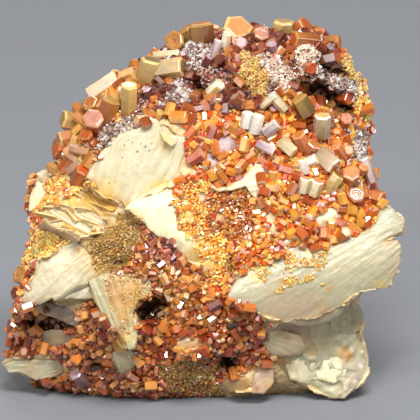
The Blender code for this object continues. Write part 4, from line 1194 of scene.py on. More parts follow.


# %% [markdown]
# ## The large crystals
# Each large crystal stands for a solid of its own. The prism starts as a six-sided cylinder whose
# end is inset, stepped and sunk, as vanadinite often stops growing in the middle of its cap. Its
# place is worked out anew from the solid matrix, which matches its own solid closely for most. A
# crystal at the outline has no matrix behind its middle, so it gets a fixed depth and can stand off
# its solid. The foot runs on into the rock.

# %% The large crystals' places
# The same lines as the solids: column and row of the centre, lift off the matrix in mm, width and
# length in mm, direction of the long axis (right, up, out), turn in degrees. Then the colours of
# the sides, the cap and the rim, and the kind of cap.
# Lavender and white, and partly pink and peach, are painted reflection: faces that mirror the lamps, laid over the
# crystals' own colour.
HUES = {
    "khaki": linear(172, 132, 66), "tan": linear(180, 112, 50), "olive": linear(124, 98, 46),
    "peach": linear(206, 140, 88), "cream": linear(216, 184, 118), "white": linear(240, 230, 214),
    "pink": linear(188, 126, 104), "lavender": linear(188, 156, 162), "brown": linear(110, 54, 24),
    "amber": linear(170, 82, 20), "orange": linear(188, 80, 22), "red": linear(98, 28, 12),
    "beige": linear(188, 136, 100), "purple": linear(112, 62, 56),
}
CRYSTALS = {
    "hex_end_left": ([(175, 41, 0.4, 2.6, 2.6, (-0.28, 0.25, 0.92), 20)], "tan amber khaki", "cupped"),
    "peach_hexagon": ([(235, 33, 1.1, 3.7, 2.8, (0.30, 0.55, 0.78), 8)], "amber peach cream", "flat"),
    "brown_top_pair": (
        [(202, 34, 0.7, 3.0, 3.2, (-0.12, 0.97, 0.22), 4), (189, 33, 0.2, 2.0, 2.3, (-0.55, 0.78, 0.30), 0)],
        "brown tan khaki", "flat",
    ),
    "small_top": ([(260, 38, 0.6, 1.9, 2.0, (0.20, 0.50, 0.84), 20)], "brown pink beige", "stepped"),
    "olive_top": ([(283, 32, 0.7, 2.7, 2.8, (0.06, 0.96, 0.28), -8)], "olive khaki cream", "flat"),
    "amber_top": ([(301, 28, -0.2, 2.3, 2.6, (0.72, 0.50, 0.48), 10)], "amber amber tan", "flat"),
    "amber_prisms": (
        [(304, 40, 1.1, 2.1, 2.9, (-0.88, 0.08, 0.46), 6), (327, 42, 0.4, 1.8, 3.2, (0.95, 0.05, 0.30), 12)],
        "amber orange khaki", "flat",
    ),
    "dark_red": ([(272, 50, 1.0, 1.4, 1.8, (-0.15, 0.85, 0.50), 0)], "red red lavender", "flat"),
    "lavender_bar_top": ([(216, 49, 1.4, 0.9, 2.2, (0.26, 0.94, 0.20), 30)], "lavender lavender white", "flat"),
    "lavender_face": ([(241, 46, 0.9, 1.6, 1.7, (0.00, 0.45, 0.88), 0)], "tan lavender beige", "flat"),
    "tan_slabs": (
        [(150, 74, 0.7, 3.0, 2.5, (0.22, 0.94, 0.28), 18), (171, 69, 0.8, 2.5, 3.1, (0.93, 0.14, 0.34), 22)],
        "khaki olive cream", "flat",
    ),
    "pale_plate": ([(168, 55, 0.9, 1.2, 2.8, (0.97, 0.08, 0.20), 0)], "cream lavender white", "flat"),
    "house_prism": ([(129, 98, 1.2, 2.2, 3.3, (0.03, 0.90, 0.42), 0)], "khaki cream cream", "flat"),
    "pink_plate": ([(108, 87, 0.7, 2.9, 3.8, (0.80, 0.52, 0.30), 2)], "peach amber cream", "flat"),
    "tan_hexagon": ([(73, 121, 0.0, 2.3, 3.3, (-0.88, 0.22, 0.34), 4)], "khaki khaki cream", "flat"),
    "orange_left": ([(93, 108, 0.4, 2.2, 2.4, (-0.42, 0.58, 0.70), 12)], "orange amber khaki", "stepped"),
    "orange_hidden": ([(109, 109, 0.9, 2.4, 2.5, (0.30, 0.88, 0.34), 8)], "amber khaki khaki", "flat"),
    "pink_plate_low": ([(94, 123, 1.3, 2.7, 2.3, (-0.06, 0.52, 0.85), 15)], "orange pink beige", "flat"),
    "striped_prism": ([(71, 138, 0.1, 2.2, 3.0, (-0.93, -0.20, 0.28), 0)], "orange tan cream", "flat"),
    "block_left": ([(88, 140, 1.1, 1.7, 2.1, (-0.20, 0.60, 0.77), 12)], "orange amber tan", "flat"),
    "brown_left": ([(64, 152, 0.2, 2.1, 2.5, (-0.85, 0.35, 0.38), 0)], "amber orange tan", "flat"),
    "pink_bar": ([(81, 151, 1.1, 1.1, 2.0, (0.95, -0.20, 0.22), 30)], "pink lavender cream", "flat"),
    "pink_bars_low": (
        [(76, 160, 0.8, 1.1, 1.8, (0.76, -0.58, 0.28), 30), (73, 168, 0.7, 1.3, 2.0, (0.76, 0.58, 0.28), 30)],
        "pink lavender cream", "flat",
    ),
    "orange_block": ([(82, 175, 0.9, 2.0, 2.2, (0.35, 0.60, 0.72), 25)], "orange orange tan", "flat"),
    "white_twin": (
        [(247, 119, 1.1, 1.4, 1.6, (0.18, 0.92, 0.32), 30), (256, 123, 1.0, 1.5, 2.0, (0.24, 0.92, 0.28), 30)],
        "white white white", "flat",
    ),
    "white_bar": (
        [(279, 104, 1.1, 1.2, 2.3, (-0.66, 0.70, 0.26), 30), (265, 104, 1.0, 1.0, 1.9, (0.76, 0.60, 0.26), 30)],
        "cream white white", "flat",
    ),
    "olive_hexagon": ([(302, 105, 1.0, 2.1, 2.1, (-0.46, 0.80, 0.38), 18)], "olive khaki khaki", "flat"),
    "cream_square": ([(322, 125, 1.1, 2.1, 2.4, (0.04, 0.90, 0.42), 22)], "khaki cream white", "flat"),
    "orange_hexagon": ([(345, 121, 0.8, 1.5, 1.7, (0.20, 0.35, 0.91), 10)], "orange orange peach", "stepped"),
    "lavender_bars": ([(272, 128, 1.1, 1.3, 1.7, (0.76, 0.58, 0.30), 30)], "lavender pink white", "flat"),
    "lavender_bar_mid": ([(267, 149, 1.0, 1.2, 1.9, (0.86, -0.45, 0.26), 30)], "lavender orange white", "flat"),
    "cream_bar": ([(288, 148, 1.1, 1.5, 1.8, (0.72, -0.64, 0.26), 0)], "cream cream white", "flat"),
    "yellow_orange_group": (
        [(301, 141, 0.9, 1.8, 1.9, (-0.40, 0.75, 0.50), 0), (310, 148, 0.9, 1.6, 1.7, (0.50, 0.60, 0.62), 15)],
        "orange tan peach", "flat",
    ),
    "tan_crystal": ([(328, 161, 1.2, 2.3, 2.3, (0.70, -0.62, 0.32), 0)], "khaki tan white", "flat"),
    "orange_pair": (
        [(339, 151, 0.8, 1.5, 1.8, (-0.50, 0.70, 0.50), 0), (347, 152, 1.0, 1.3, 1.6, (0.20, 0.30, 0.93), 20)],
        "orange peach peach", "flat",
    ),
    "tan_cluster": (
        [(350, 178, 1.0, 2.3, 2.2, (0.10, 0.62, 0.78), 10), (361, 171, 0.7, 1.4, 1.8, (0.45, 0.60, 0.66), 20)],
        "tan peach peach", "flat",
    ),
    "shiny_white": ([(368, 169, 0.6, 1.2, 2.7, (-0.36, 0.91, 0.20), 30)], "lavender white white", "flat"),
    "pink_stepped": ([(355, 197, 1.0, 2.1, 1.9, (0.15, 0.35, 0.92), 5)], "orange pink beige", "cupped"),
    "right_edge_prism": ([(373, 197, 0.4, 2.1, 2.8, (0.88, -0.22, 0.42), 12)], "amber orange peach", "flat"),
    "cream_squares": (
        [(304, 184, 0.9, 1.4, 1.5, (0.20, 0.90, 0.38), 30), (315, 187, 0.9, 1.6, 1.6, (0.30, 0.86, 0.42), 24)],
        "cream peach white", "flat",
    ),
    "white_group": (
        [(303, 165, 0.9, 1.2, 1.5, (-0.20, 0.92, 0.34), 30), (311, 161, 0.9, 1.3, 1.5, (0.85, 0.40, 0.34), 30)],
        "white cream white", "flat",
    ),
    "cream_olive": ([(333, 182, 0.9, 1.6, 2.1, (0.56, 0.77, 0.30), 12)], "cream olive cream", "flat"),
    "left_edge_orange": ([(20, 274, 0.2, 2.4, 2.4, (-0.70, 0.30, 0.65), 10)], "orange tan khaki", "stepped"),
    "left_edge_low": ([(14, 293, 0.2, 1.9, 2.2, (-0.75, 0.10, 0.65), 0)], "orange brown tan", "flat"),
    "lavender_low": ([(79, 377, 0.8, 1.7, 1.9, (-0.45, 0.50, 0.74), 0)], "purple lavender lavender", "flat"),
}
ROOTED = 0.3 * MM  # how far a large crystal's foot runs on into the rock
EDGE_DEPTH = 8.0  # mm, depth of a crystal whose line of sight misses the matrix
OUT_WAY = Vector(OUT)
print("large crystals:", sum(len(lines) for lines, _, _ in CRYSTALS.values()), "in", len(CRYSTALS), "solids")


# %% Building a large crystal
def select_faces(obj, chosen):
    """Selects the faces for which chosen(face) is true, ready for an edit."""
    bpy.ops.object.mode_set(mode="EDIT")
    bpy.ops.mesh.select_mode(type="FACE")
    bpy.ops.mesh.select_all(action="DESELECT")
    bpy.ops.object.mode_set(mode="OBJECT")
    for face in obj.data.polygons:
        face.select = bool(chosen(face))
    bpy.ops.object.mode_set(mode="EDIT")


def big_prism(width, length, kind, luck):
    """A prism along Z about its centre, with a finished cap on top and a plain foot."""
    rim = 0.10 * width
    bpy.ops.object.select_all(action="DESELECT")
    bpy.ops.mesh.primitive_cylinder_add(vertices=6, radius=width / 2, depth=length)
    obj = bpy.context.object
    points = points_of(obj)
    angle = np.arctan2(points[:, 1], points[:, 0])
    uneven = 1 + 0.05 * np.sin(angle * 2 + luck * 9) + 0.03 * np.sin(angle * 3 + luck * 5)
    points[:, :2] *= uneven[:, None]
    move_points(obj, points)
    top = length / 2
    select_faces(obj, lambda face: face.normal.z > 0.9)
    bpy.ops.mesh.inset(thickness=rim)
    bpy.ops.object.mode_set(mode="OBJECT")
    points = points_of(obj)
    outer = (points[:, 2] > top - 1e-7) & (np.hypot(points[:, 0], points[:, 1]) > 0.42 * width)
    points[outer, 2] -= 0.7 * rim
    move_points(obj, points)
    select_faces(obj, lambda face: face.normal.z > 0.99)
    if kind == "cupped":
        for ring, sunk in ((0.9, 0.06), (0.8, 0.05)):
            bpy.ops.mesh.inset(thickness=ring * rim)
            bpy.ops.mesh.inset(thickness=0.25 * rim)
            bpy.ops.transform.translate(value=(0, 0, -sunk * width))
    if kind == "stepped":
        bpy.ops.mesh.inset(thickness=0.8 * rim)
        bpy.ops.mesh.inset(thickness=0.15 * rim)
        bpy.ops.transform.translate(value=(0.03 * width * (luck - 0.5), 0.02 * width, -0.03 * width))
        bpy.ops.mesh.inset(thickness=1.4 * rim)
        bpy.ops.mesh.inset(thickness=0.15 * rim)
        bpy.ops.transform.translate(value=(0.02 * width, 0, 0.03 * width))
    bpy.ops.object.mode_set(mode="OBJECT")
    bevel = obj.modifiers.new("worn edges", "BEVEL")
    bevel.width = 0.018 * width
    bevel.segments = 1
    bevel.limit_method = "ANGLE"
    apply_modifiers(obj)
    return obj


def colour_prism(obj, length, hues, luck):
    """Lays side, cap and rim colours on a prism that still stands along Z, with painted highlights on some sides and
    painted shade towards the foot.
    """
    side, cap, rim = (HUES[name] for name in hues.split())
    mesh = obj.data
    mesh.color_attributes.new("tint", "FLOAT_COLOR", "CORNER")
    mesh.attributes.new("frost", "FLOAT", "CORNER")
    tint, frost = mesh.attributes["tint"], mesh.attributes["frost"]
    for face in mesh.polygons:
        turn = math.floor(math.degrees(math.atan2(face.normal.y, face.normal.x)) / 60 + 0.5)
        own = (luck * 5.3 + turn * 0.382) % 1
        for loop in face.loop_indices:
            height = mesh.vertices[mesh.loops[loop].vertex_index].co.z / length + 0.5
            if abs(face.normal.z) > 0.9:
                middle = face.center.xy.length / (face.center.xy.length + 0.25 * MM)
                colour = cap * (1 - middle) + (0.6 * cap + 0.4 * rim) * middle
                gloss = 0.26
            elif abs(face.normal.z) > 0.15:
                colour, gloss = rim, 0.2
            else:
                near_cap = 0.25 * ramp(height, 0.55, 1.0)
                # painted highlight: some side faces, chosen by luck, are paler and brighter
                colour = (side * (1 - 0.45 * own) + rim * 0.45 * own) * (0.72 + 0.4 * own)
                # painted shade: the sides are darker towards the foot
                colour = (colour * (1 - near_cap) + rim * near_cap) * (0.7 + 0.3 * ramp(height, 0.0, 0.5))
                gloss = 0.12 + 0.12 * own
            tint.data[loop].color = (*colour, 1)
            frost.data[loop].value = gloss


def standing(along, turn):
    """The turn that brings Z onto an axis and an edge of the prism to the front, then turns it by degrees."""
    front = OUT_WAY - along * OUT_WAY.dot(along)
    if front.length < 0.3:
        front = Vector(UP) - along * Vector(UP).dot(along)
    front.normalize()
    upright = Matrix((front.cross(along), front, along)).transposed().to_4x4()
    return upright @ Matrix.Rotation(math.radians(turn), 4, "Z")


def tip_shift(name, centre, along, reach, width):
    """How far along its axis a prism has to move so that its tip meets the solid's."""
    tip = centre + along * reach
    near = [vert.co.dot(along) for vert in nodes[name].data.vertices if (vert.co - tip).length < 0.8 * width]
    return max(near) - tip.dot(along) if len(near) > 3 else 0.0


def large_crystal(name, number):
    lines, hues, kind = CRYSTALS[name]
    pieces = []
    for k, (column, row, lift, width, length, axis, turn) in enumerate(lines):
        luck = (number * 0.618 + k * 0.37) % 1
        along = Vector(RIGHT * axis[0] + UP * axis[1] + OUT * axis[2]).normalized()
        start = Vector(place(column, row, FAR))
        hit, _, _, distance = matrix_tree.ray_cast(start, Vector(-OUT))
        depth = FAR - distance / MM if hit is not None else EDGE_DEPTH
        centre = Vector(place(column, row, depth + lift))
        centre += along * tip_shift(name, centre, along, length * MM / 2, width * MM)
        full = length * MM + ROOTED
        obj = big_prism(width * MM, full, kind, luck)
        colour_prism(obj, full, hues, luck)
        obj.data.transform(Matrix.Translation(centre - along * ROOTED / 2) @ standing(along, turn))
        pieces.append(obj)
        for share in (-0.35, 0.0, 0.35):
            large_spots.append((centre + along * share * full, width * MM / 2))
    return join_all("large_" + name, pieces)


large_spots = []
for number, name in enumerate(CRYSTALS):
    piece = large_crystal(name, number)
    low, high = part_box(name)
    ours = points_of(piece)
    off = np.abs(np.r_[ours.max(axis=0) - high, ours.min(axis=0) - low]).max() / MM
    print(name, "box differs by at most", round(off, 2), "mm")
    stand_in(piece, vanadinite, "vanadinite", name)

# %% [markdown]
# ## Where the druse grows
# A druse is a crust of small crystals. Each patch of it has an outline on its side of the specimen,
# a style, a range of sizes and how closely the crystals stand. Bigger crystals go in first and
# smaller ones fill what is left, as thrown darts that keep clear of those already there.

# %% Ground to grow on
BARE = ("wishbone", "grey", "grey_low", "strip", "flake_tip", "leaf_low", "leaf_mid", "leaf_long", "leaf_high",
        "leaf_top", "pale_blade", "left_edge")
ground_points, ground_faces, ground_rim = [], [], []
offset = 0
names = [None] + list(PLATES) + list(BACK_PLATES)
for owner, piece in zip(names, [rock_piece] + plates):
    piece.data.calc_loop_triangles()
    corners = np.empty(len(piece.data.loop_triangles) * 3, np.int32)
    piece.data.loop_triangles.foreach_get("vertices", corners)
    ground_points.append(points_of(piece))
    ground_faces.append(corners.reshape(-1, 3) + offset)
    columns, rows, _ = grid_of(ground_points[-1])
    reach = np.zeros(len(columns))
    if owner:
        reach = np.maximum(rim_distance(columns, rows, (PLATES.get(owner) or BACK_PLATES[owner])[0]), 0.01)
    if owner in BARE:
        reach += 99
    ground_rim.append(reach[corners.reshape(-1, 3)].mean(axis=1))
    offset += len(piece.data.vertices)
ground_points = np.concatenate(ground_points)
ground_faces = np.concatenate(ground_faces)
ground_rim = np.concatenate(ground_rim)  # mm in from a plate's rim, 0 on the rock
ground_tree = BVHTree.FromPolygons(ground_points.tolist(), ground_faces.tolist())
triangle = ground_points[ground_faces]
ground_normal = np.cross(triangle[:, 1] - triangle[:, 0], triangle[:, 2] - triangle[:, 0])
ground_area = np.linalg.norm(ground_normal, axis=1) / 2
ground_normal /= np.maximum(2 * ground_area, 1e-15)[:, None]
ground_centre = triangle.mean(axis=1)
rock_corners = ground_faces[: len(rock_piece.data.loop_triangles)]
columns, rows, _ = grid_of(ground_centre[: len(rock_corners)])
OPEN = 1.1  # radii round a bare spot that stay free of crystals
for column, row, radius, _ in WINDOWS:
    open_ground = spot_distance(columns, rows, column, row) < OPEN * radius
    ground_rim[: len(rock_corners)][open_ground & (ground_normal[: len(rock_corners)] @ OUT > 0)] = 99
# How deep in a hollow each ground triangle lies: it thins the crystals there and darkens them as painted shade.
ground_dark = np.zeros(len(ground_faces))
ground_dark[: len(rock_corners)] = (hollow * facing)[rock_corners].mean(axis=1)
wander = np.stack([layered_noise(ground_centre, 1.6 * MM, seed) for seed in (41, 42)]) * 6.0
print("ground:", len(ground_faces), "triangles,", round(ground_area.sum() / MM**2), "mm2")

SIDES = {"face": OUT, "back": -OUT, "left": -RIGHT, "right": RIGHT, "top": UP}


def side_places(points, side):
    """The two coordinates of points that outlines on a side use, both counted in grid squares."""
    columns, rows, depths = grid_of(points)
    if side in ("face", "back"):
        return columns, rows
    if side == "top":
        return columns, depths * MM / GRID
    return depths * MM / GRID, rows


# %% Throwing the crystals
rng = np.random.default_rng(7)
CELL = 1.2 * MM
taken = {}


def cell_of(point):
    return tuple(int(math.floor(value / CELL)) for value in point)


def claim(point, radius):
    taken.setdefault(cell_of(point), []).append((*point, radius))


def is_free(point, radius, packing):
    i, j, k = cell_of(point)
    for di in (-1, 0, 1):
        for dj in (-1, 0, 1):
            for dk in (-1, 0, 1):
                for x, y, z, other in taken.get((i + di, j + dj, k + dk), ()):
                    far = (x - point[0]) ** 2 + (y - point[1]) ** 2 + (z - point[2]) ** 2
                    if far < (packing * (radius + other)) ** 2:
                        return False
    return True


def throw(side, outline, widths, packing, tries, reach=0.5, clear=0.05):
    """Numbers of ground triangles, places on them and widths in metres of the crystals of one pass.
    reach is how far in mm they lap over a plate's rim.
    """
    view = SIDES[side]
    if side in ("left", "right"):
        outline = [(a * MM / GRID, b) for a, b in outline]
    if side == "top":
        outline = [(a, b * MM / GRID) for a, b in outline]
    across, down = side_places(ground_centre, side)
    chosen = (ground_normal @ view > clear) & inside_outline(across + wander[0], down + wander[1], outline)
    chosen &= ground_rim < reach * (1 + 0.12 * wander[0])
    if reach > 5:
        chosen &= layered_noise(ground_centre, 1.1 * MM, 47) > 0.1
    chosen = np.flatnonzero(chosen)
    share = ground_area[chosen]
    mean = 0.5 * (widths[0] + widths[1]) * MM
    count = int(tries * share.sum() / mean**2)
    picked = rng.choice(chosen, count, p=share / share.sum())
    a, b = rng.random((2, count))
    flip = a + b > 1
    a, b = np.where(flip, 1 - a, a), np.where(flip, 1 - b, b)
    corner = triangle[picked]
    spots = corner[:, 0] + a[:, None] * (corner[:, 1] - corner[:, 0]) + b[:, None] * (corner[:, 2] - corner[:, 0])
    sizes = (widths[0] + (widths[1] - widths[0]) * rng.random(count) ** 1.4) * MM
    kept = []
    for k in range(count):
        if ground_dark[picked[k]] * (0.4 + rng.random()) > 0.5 or spots[k, 2] < 0.75 * sizes[k]:
            continue
        spot = Vector(spots[k])
        if not is_free(spot, sizes[k] / 2, packing):
            continue
        hit = ground_tree.ray_cast(spot + Vector(view) * 0.03 * MM, Vector(view), 4 * MM)[0]
        if hit is None:
            claim(spot, sizes[k] / 2)
            kept.append(k)
    return picked[kept], spots[kept], sizes[kept]


# blocks between the lumps of the top rim: column and row, width and length in mm, direction of the
# long axis (right, up, out), colours of the sides and the caps
BLOCKS = (
    (225, 47, 1.3, 2.6, (0.15, 0.9, 0.4), "white", "cream"), (221, 65, 1.5, 1.9, (-0.2, 0.5, 0.8), "red", "brown"),
    (213, 91, 1.6, 2.1, (0.6, 0.5, 0.6), "cream", "white"), (308, 67, 1.5, 1.9, (0.3, -0.2, 0.9), "amber", "orange"),
    (327, 59, 1.8, 2.2, (0.8, 0.2, 0.5), "brown", "amber"),
    (344, 97, 1.7, 2.0, (0.5, -0.1, 0.8), "orange", "amber"), (196, 77, 1.4, 1.8, (-0.6, 0.3, 0.7), "red", "pink"),
    (205, 66, 1.1, 1.7, (0.4, 0.8, 0.3), "red", "lavender"), (274, 96, 1.3, 2.0, (0.8, 0.4, 0.4), "amber", "tan"),
    (292, 96, 1.2, 1.7, (-0.7, 0.5, 0.5), "tan", "cream"), (234, 104, 1.2, 1.9, (0.9, -0.2, 0.4), "brown", "peach"),
    (150, 96, 1.3, 1.7, (-0.4, 0.7, 0.6), "purple", "lavender"), (172, 76, 1.2, 1.8, (0.9, 0.2, 0.3), "khaki", "cream"),
)


def hand_placed(blocks):
    """A crop of single crystals that stand where a line of sight meets the ground."""
    crop = {key: [] for key in ("spot", "normal", "middle", "axis", "side", "cap", "root", "width", "length")}
    for column, row, width, length, way, side, cap in blocks:
        start = Vector(place(np.array([column]), np.array([row]), np.array([30.0]))[0])
        hit, normal, _, _ = ground_tree.ray_cast(start, -OUT_WAY)
        axis = np.array(way) @ np.stack((RIGHT, UP, OUT))
        axis /= np.linalg.norm(axis)
        claim(hit, 0.6 * width * MM)
        # the root colour, about a third of the side colour, is painted shade
        values = (hit, normal, hit + Vector(axis) * 0.2 * length * MM, axis, HUES[side], HUES[cap],
                  0.35 * HUES[side], width * MM, length * MM)
        for key, value in zip(crop, values):
            crop[key].append(value)
    crop = {key: np.array(values) for key, values in crop.items()}
    count = len(crop["width"])
    crop["flat"] = np.full(count, 0.9)
    crop["luck"], crop["turn"] = rng.random((2, count))
    return crop


stand_in(crystal_mesh("druse_blocks", hand_placed(BLOCKS), CUPPED), vanadinite, "crystal_crust", "crust_top_rim")

# The pale cap colours are partly the crystals' own and partly painted sheen, a reflection of the lamps.
PALE_CAPS = 0.3  # share of the crystals whose cap keeps its full pale colour


def crop_of(picked, spots, sizes, style, lying, stretch, view):
    """Turns places into a crop of one style. lying is how much of a right angle the crystals lean over."""
    sides, caps, root = STYLES[style]
    count = len(spots)
    # Painted shade: crystals in the hollows are darkened.
    shade = (1 - 0.8 * ground_dark[picked])[:, None]
    normals = ground_normal[picked] * 0.7 + view * 0.5 + rng.normal(size=(count, 3)) * 0.15
    normals /= np.linalg.norm(normals, axis=1, keepdims=True)
    around = np.cross(normals, rng.normal(size=(count, 3)))
    around /= np.linalg.norm(around, axis=1, keepdims=True)
    lean = (lying[0] + (lying[1] - lying[0]) * rng.random(count)) * math.pi / 2
    cos, sin = np.cos(lean)[:, None], np.sin(lean)[:, None]
    axes = normals * cos + around * sin
    if style == "blade":
        columns, rows = side_places(spots, "face")
        axes = np.outer(columns - BLADE_FOCUS[0], RIGHT) - np.outer(rows - BLADE_FOCUS[1], UP)
        axes = axes / np.linalg.norm(axes, axis=1, keepdims=True) + rng.normal(size=(count, 3)) * 0.16
        axes = (axes - ground_normal[picked] * (axes * ground_normal[picked]).sum(axis=1)[:, None])
        axes = axes / np.linalg.norm(axes, axis=1, keepdims=True) + 0.15 * OUT
        axes /= np.linalg.norm(axes, axis=1, keepdims=True)
        cos, sin = 0 * cos, 0 * sin
    lengths = sizes * (stretch[0] + (stretch[1] - stretch[0]) * rng.random(count))
    lift = 0.24 * sizes[:, None] * sin + 0.20 * lengths[:, None] * cos
    patch = layered_noise(spots, 1.3 * MM, 5)
    bright = (0.84 + 0.2 * rng.random(count) + 0.2 * patch)[:, None] * shade
    own = rng.random(count) * 0.8 + 0.5 * patch
    side = np.array(sides)[(own % 1 * len(sides)).astype(int)]
    cap = np.array(caps)[(rng.random(count) * len(caps)).astype(int)]
    plain = (rng.random(count) > PALE_CAPS)[:, None]
    cap = np.where(plain, 0.6 * side + 0.4 * cap, cap)
    return {
        "spot": spots, "normal": normals, "middle": spots + normals * lift, "axis": axes,
        "turn": rng.random(count) * math.pi / 3, "width": sizes, "length": lengths,
        "flat": (0.12 if style == "blade" else 0.8) + 0.2 * rng.random(count),
        "side": (side * bright).clip(0, 0.95),
        "cap": (cap * bright).clip(0, 0.95),
        "root": np.tile(root, (count, 1)) * shade, "luck": rng.random(count),
    }


for spot, radius in large_spots:
    claim(spot, 1.15 * radius)
print("places taken by large crystals:", len(large_spots))

# %% [markdown]
# ## The druse, patch by patch
# Each patch becomes one joined mesh, or one of plain and one of cupped crystals joined together,
# and stands for the crust of that name.

# %% Patches
# piece: the crust it stands for, then its passes; reach is over plates, in mm
MIXED = (0.3, 1.0)
LYING = (0.6, 1.0)
def grown(outline, style, widths, packing=0.66, lean=MIXED, stretch=(0.8, 1.3), reach=0.5, side="face"):
    """One pass of crystals: where they grow, how wide in mm, how closely, how they lean and how long."""
    return side, outline, style, widths, packing, lean, stretch, reach


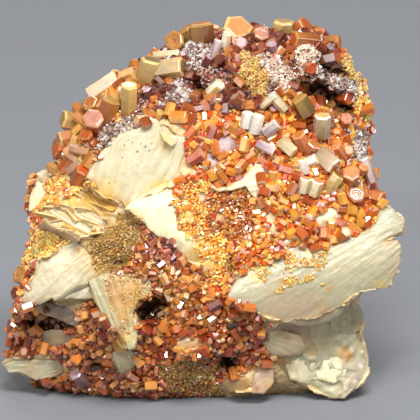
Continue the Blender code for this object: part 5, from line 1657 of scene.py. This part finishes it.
PATCHES = {
    "grains_left": (
        grown(YELLOW_CRUST, "straw", (0.28, 0.55), stretch=(0.8, 1.2)),
        grown(THIN_BLADES, "blade", (0.7, 1.2), packing=0.8, stretch=(1.4, 2.6), reach=9.0),
        grown(BOTRYOIDAL, "yellow", (0.4, 0.75), stretch=(0.8, 1.2), reach=0.7),
        grown(OLIVE_CRUST, "olive", (0.22, 0.36), stretch=(0.8, 1.2), reach=0.7),
        grown(FAN_GRAINS, "yellow sugar", (0.14, 0.26), packing=1.3, stretch=(0.8, 1.2), reach=9.0),
    ),
    "lumps_top_rim": (
        grown(LUMP_SILVER, "glitter", (0.2, 0.46), packing=0.6, stretch=(0.8, 1.9)),
        grown(LUMP_SILVER_LOW, "glitter", (0.2, 0.46), packing=0.6, stretch=(0.8, 1.9)),
        grown(LUMP_SILVER_LEFT, "dark glitter", (0.24, 0.4), packing=0.6, stretch=(0.7, 1.1)),
        grown(LUMP_DARK, "dark glitter", (0.26, 0.55), packing=0.6, stretch=(0.7, 1.2)),
        grown(OBLONG, "yellow sugar", (0.2, 0.34), packing=0.6, stretch=(0.7, 1.1)),
        grown(ROD_WHITE, "white sugar", (0.2, 0.42), packing=0.6, stretch=(0.8, 1.7)),
        grown(ROD_PINK, "white sugar", (0.2, 0.42), packing=0.6, stretch=(0.8, 1.7)),
        grown(LUMP_TOP, "white sugar", (0.22, 0.46), packing=0.6, stretch=(0.8, 1.7)),
        grown(RIDGE, "glitter", (0.2, 0.46), packing=0.6, stretch=(0.8, 1.9)),
        grown(COAT_YELLOW, "yellow sugar", (0.22, 0.4), packing=0.6, stretch=(0.7, 1.1)),
    ),
    "crust_top_rim": (
        grown(LUMP_GLASSY, "bottom", (0.4, 0.8), packing=0.6, stretch=(0.7, 1.1)),
        grown(LUMP_RIGHT, "bottom", (0.5, 0.9), packing=0.6, stretch=(0.8, 1.2)),
        # On the rim the brown and dark red passes are darker than elsewhere: partly the crystals' own colour, partly
        # painted shade of the band between the lumps.
        grown(RIM, "brown", (1.2, 1.7), packing=1.2, lean=LYING, stretch=(0.9, 1.3)),
        grown(RIM, "dark red", (0.9, 1.3), lean=LYING, stretch=(0.9, 1.3)),
        grown(RIM, "dark red", (0.45, 0.85), lean=LYING, stretch=(0.8, 1.4)),
        grown(RIM, "dark glitter", (0.26, 0.42), stretch=(0.8, 1.4)),
    ),
    "lumps_left_rim": (grown(STRIP_SILVER, "glitter", (0.22, 0.46), packing=0.6, stretch=(0.8, 1.9)),),
    "crust_left_rim": (
        grown(LEFT_RIM, "tan", (1.3, 1.9), lean=LYING, stretch=(0.9, 1.4)),
        grown(LEFT_RIM, "tan", (0.9, 1.3), lean=LYING, stretch=(0.9, 1.4)),
        grown(LEFT_RIM, "brown", (0.45, 0.85), stretch=(0.8, 1.4), reach=0.7),
        grown(LEFT_RIM, "brown", (0.3, 0.45), stretch=(0.8, 1.4), reach=0.7),
    ),
    "lumps_upper_right": (
        grown(MIDDLE_SUGAR, "white sugar", (0.22, 0.4), packing=0.6, stretch=(0.7, 1.1)),
        grown(EDGE_LOW, "glitter", (0.3, 0.55), packing=0.6, stretch=(0.8, 1.2)),
    ),
    "crust_upper_right": (
        grown(UPPER_RIGHT, "amber", (1.3, 1.8), packing=1.7, lean=LYING, stretch=(0.9, 1.3)),
        grown(EDGE_SILVER, "straw", (0.3, 0.6), packing=0.6, stretch=(0.8, 1.2)),
        grown(UPPER_RIGHT, "amber", (0.9, 1.3), packing=0.95, lean=LYING, stretch=(0.9, 1.3)),
        grown(UPPER_RIGHT, "orange", (0.5, 0.9), lean=LYING, stretch=(0.8, 1.4), reach=0.7),
        grown(UPPER_RIGHT, "orange", (0.3, 0.46), stretch=(0.8, 1.4), reach=0.9),
    ),
    "crust_centre": (
        grown(FINE_YELLOW, "yellow", (0.3, 0.48), reach=0.7),
        grown(FINE_LOW, "yellow", (0.3, 0.48), reach=0.7),
        grown(FINE_BROWN, "brown", (0.36, 0.6), stretch=(0.8, 1.4), reach=0.7),
        grown(CENTRE, "orange", (0.5, 0.95), reach=0.7),
        grown(CENTRE, "orange", (0.32, 0.46), stretch=(0.8, 1.4), reach=0.7),
        grown(BANDED, "yellow", (0.22, 0.44), packing=0.7, stretch=(0.8, 1.2), reach=9.0),
        grown(CLUSTERS, "sprinkled", (0.16, 0.34), packing=0.8, stretch=(0.8, 1.2), reach=9.0),
    ),
    "crust_middle_left": (
        grown(MAUVE_TOP, "mauve", (0.5, 0.95), lean=LYING, reach=0.7),
        grown(MAUVE, "brown", (1.0, 1.4), packing=1.8, lean=LYING),
        grown(MAUVE, "brown", (0.7, 1.05), lean=LYING),
        grown(MAUVE, "brown", (0.38, 0.65), stretch=(0.8, 1.4), reach=0.7),
        grown(MAUVE, "bottom", (0.28, 0.4), stretch=(0.8, 1.4), reach=0.7),
    ),
    "crust_bottom": (
        grown(OLIVE_LOW, "olive", (0.26, 0.44)),
        grown(BOTTOM, "bottom", (1.1, 1.5), packing=1.6, lean=LYING),
        grown(BOTTOM, "bottom", (0.7, 1.1)),
        grown(BOTTOM, "bottom", (0.38, 0.66), stretch=(0.8, 1.4), reach=0.7),
        grown(BOTTOM, "orange", (0.28, 0.4), stretch=(0.8, 1.4), reach=0.7),
    ),
    "crust_lower_left": (
        grown(LOWER_LEFT, "bottom", (1.1, 1.6), packing=1.5, lean=LYING),
        grown(LOWER_LEFT, "red brown", (0.7, 1.1)),
        grown(LOWER_LEFT, "red brown", (0.38, 0.66), stretch=(0.8, 1.4)),
        grown(LOWER_LEFT, "bottom", (0.28, 0.4), stretch=(0.8, 1.4)),
    ),
    "crust_left_edge": (
        grown(LEFT_FRINGE, "orange", (0.6, 1.1)),
        grown(LEFT_SIDE, "orange", (0.5, 0.95), side="left"),
        grown(LEFT_SIDE, "red brown", (0.3, 0.46), side="left"),
    ),
    "crust_right_edge": (
        grown(RIGHT_SIDE, "orange", (0.6, 1.1), side="right"),
        grown(RIGHT_SIDE, "brown", (0.34, 0.52), side="right"),
    ),
    "crust_top": (
        grown(TOP_SIDE, "tan", (0.8, 1.4), side="top"),
        grown(TOP_SIDE, "brown", (0.4, 0.7), side="top"),
    ),
    "crust_back": (
        grown(BACK_HIGH, "orange", (0.55, 1.05), side="back"),
        grown(BACK_HIGH, "brown", (0.32, 0.5), side="back"),
    ),
    "crust_back_low": (
        grown(BACK_LOW, "bottom", (0.5, 0.95), side="back"),
        grown(BACK_LOW, "red brown", (0.3, 0.5), side="back"),
    ),
}
TRIES = 5.0
CUPPED_FROM = 0.8 * MM  # crystals at least this wide may have a cupped cap
total = 0
for name, passes in PATCHES.items():
    crops = []
    for side, outline, style, widths, packing, lying, stretch, reach in passes:
        found = throw(side, outline, widths, packing, TRIES, reach)
        crops.append(crop_of(*found, style, lying, stretch, SIDES[side]))
    crop = {key: np.concatenate([part[key] for part in crops]) for key in crops[0]}
    cupped = (crop["width"] > CUPPED_FROM) & (crop["luck"] > 0.5)
    halves = []
    for mask, template in ((~cupped, PLAIN), (cupped, CUPPED)):
        if mask.any():
            halves.append(crystal_mesh("part", {key: value[mask] for key, value in crop.items()}, template))
    piece = join_all(name.replace("crust_", "druse_"), halves)
    node = name.replace("lumps_", "crust_")
    node = node if node in nodes else "baryte_matrix"
    finish = sugar if name.startswith(("lumps_", "grains_")) else vanadinite
    stand_in(piece, finish, "baryte" if node == "baryte_matrix" else "crystal_crust", node)
    total += len(crop["middle"])
print("small crystals:", total)

# %% Sizes and finish
def corners(box):
    return [[float(value) for value in corner] for corner in box]


{"cad": corners(cad_box), "visual": corners(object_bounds())}
print("size:", corners(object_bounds()))
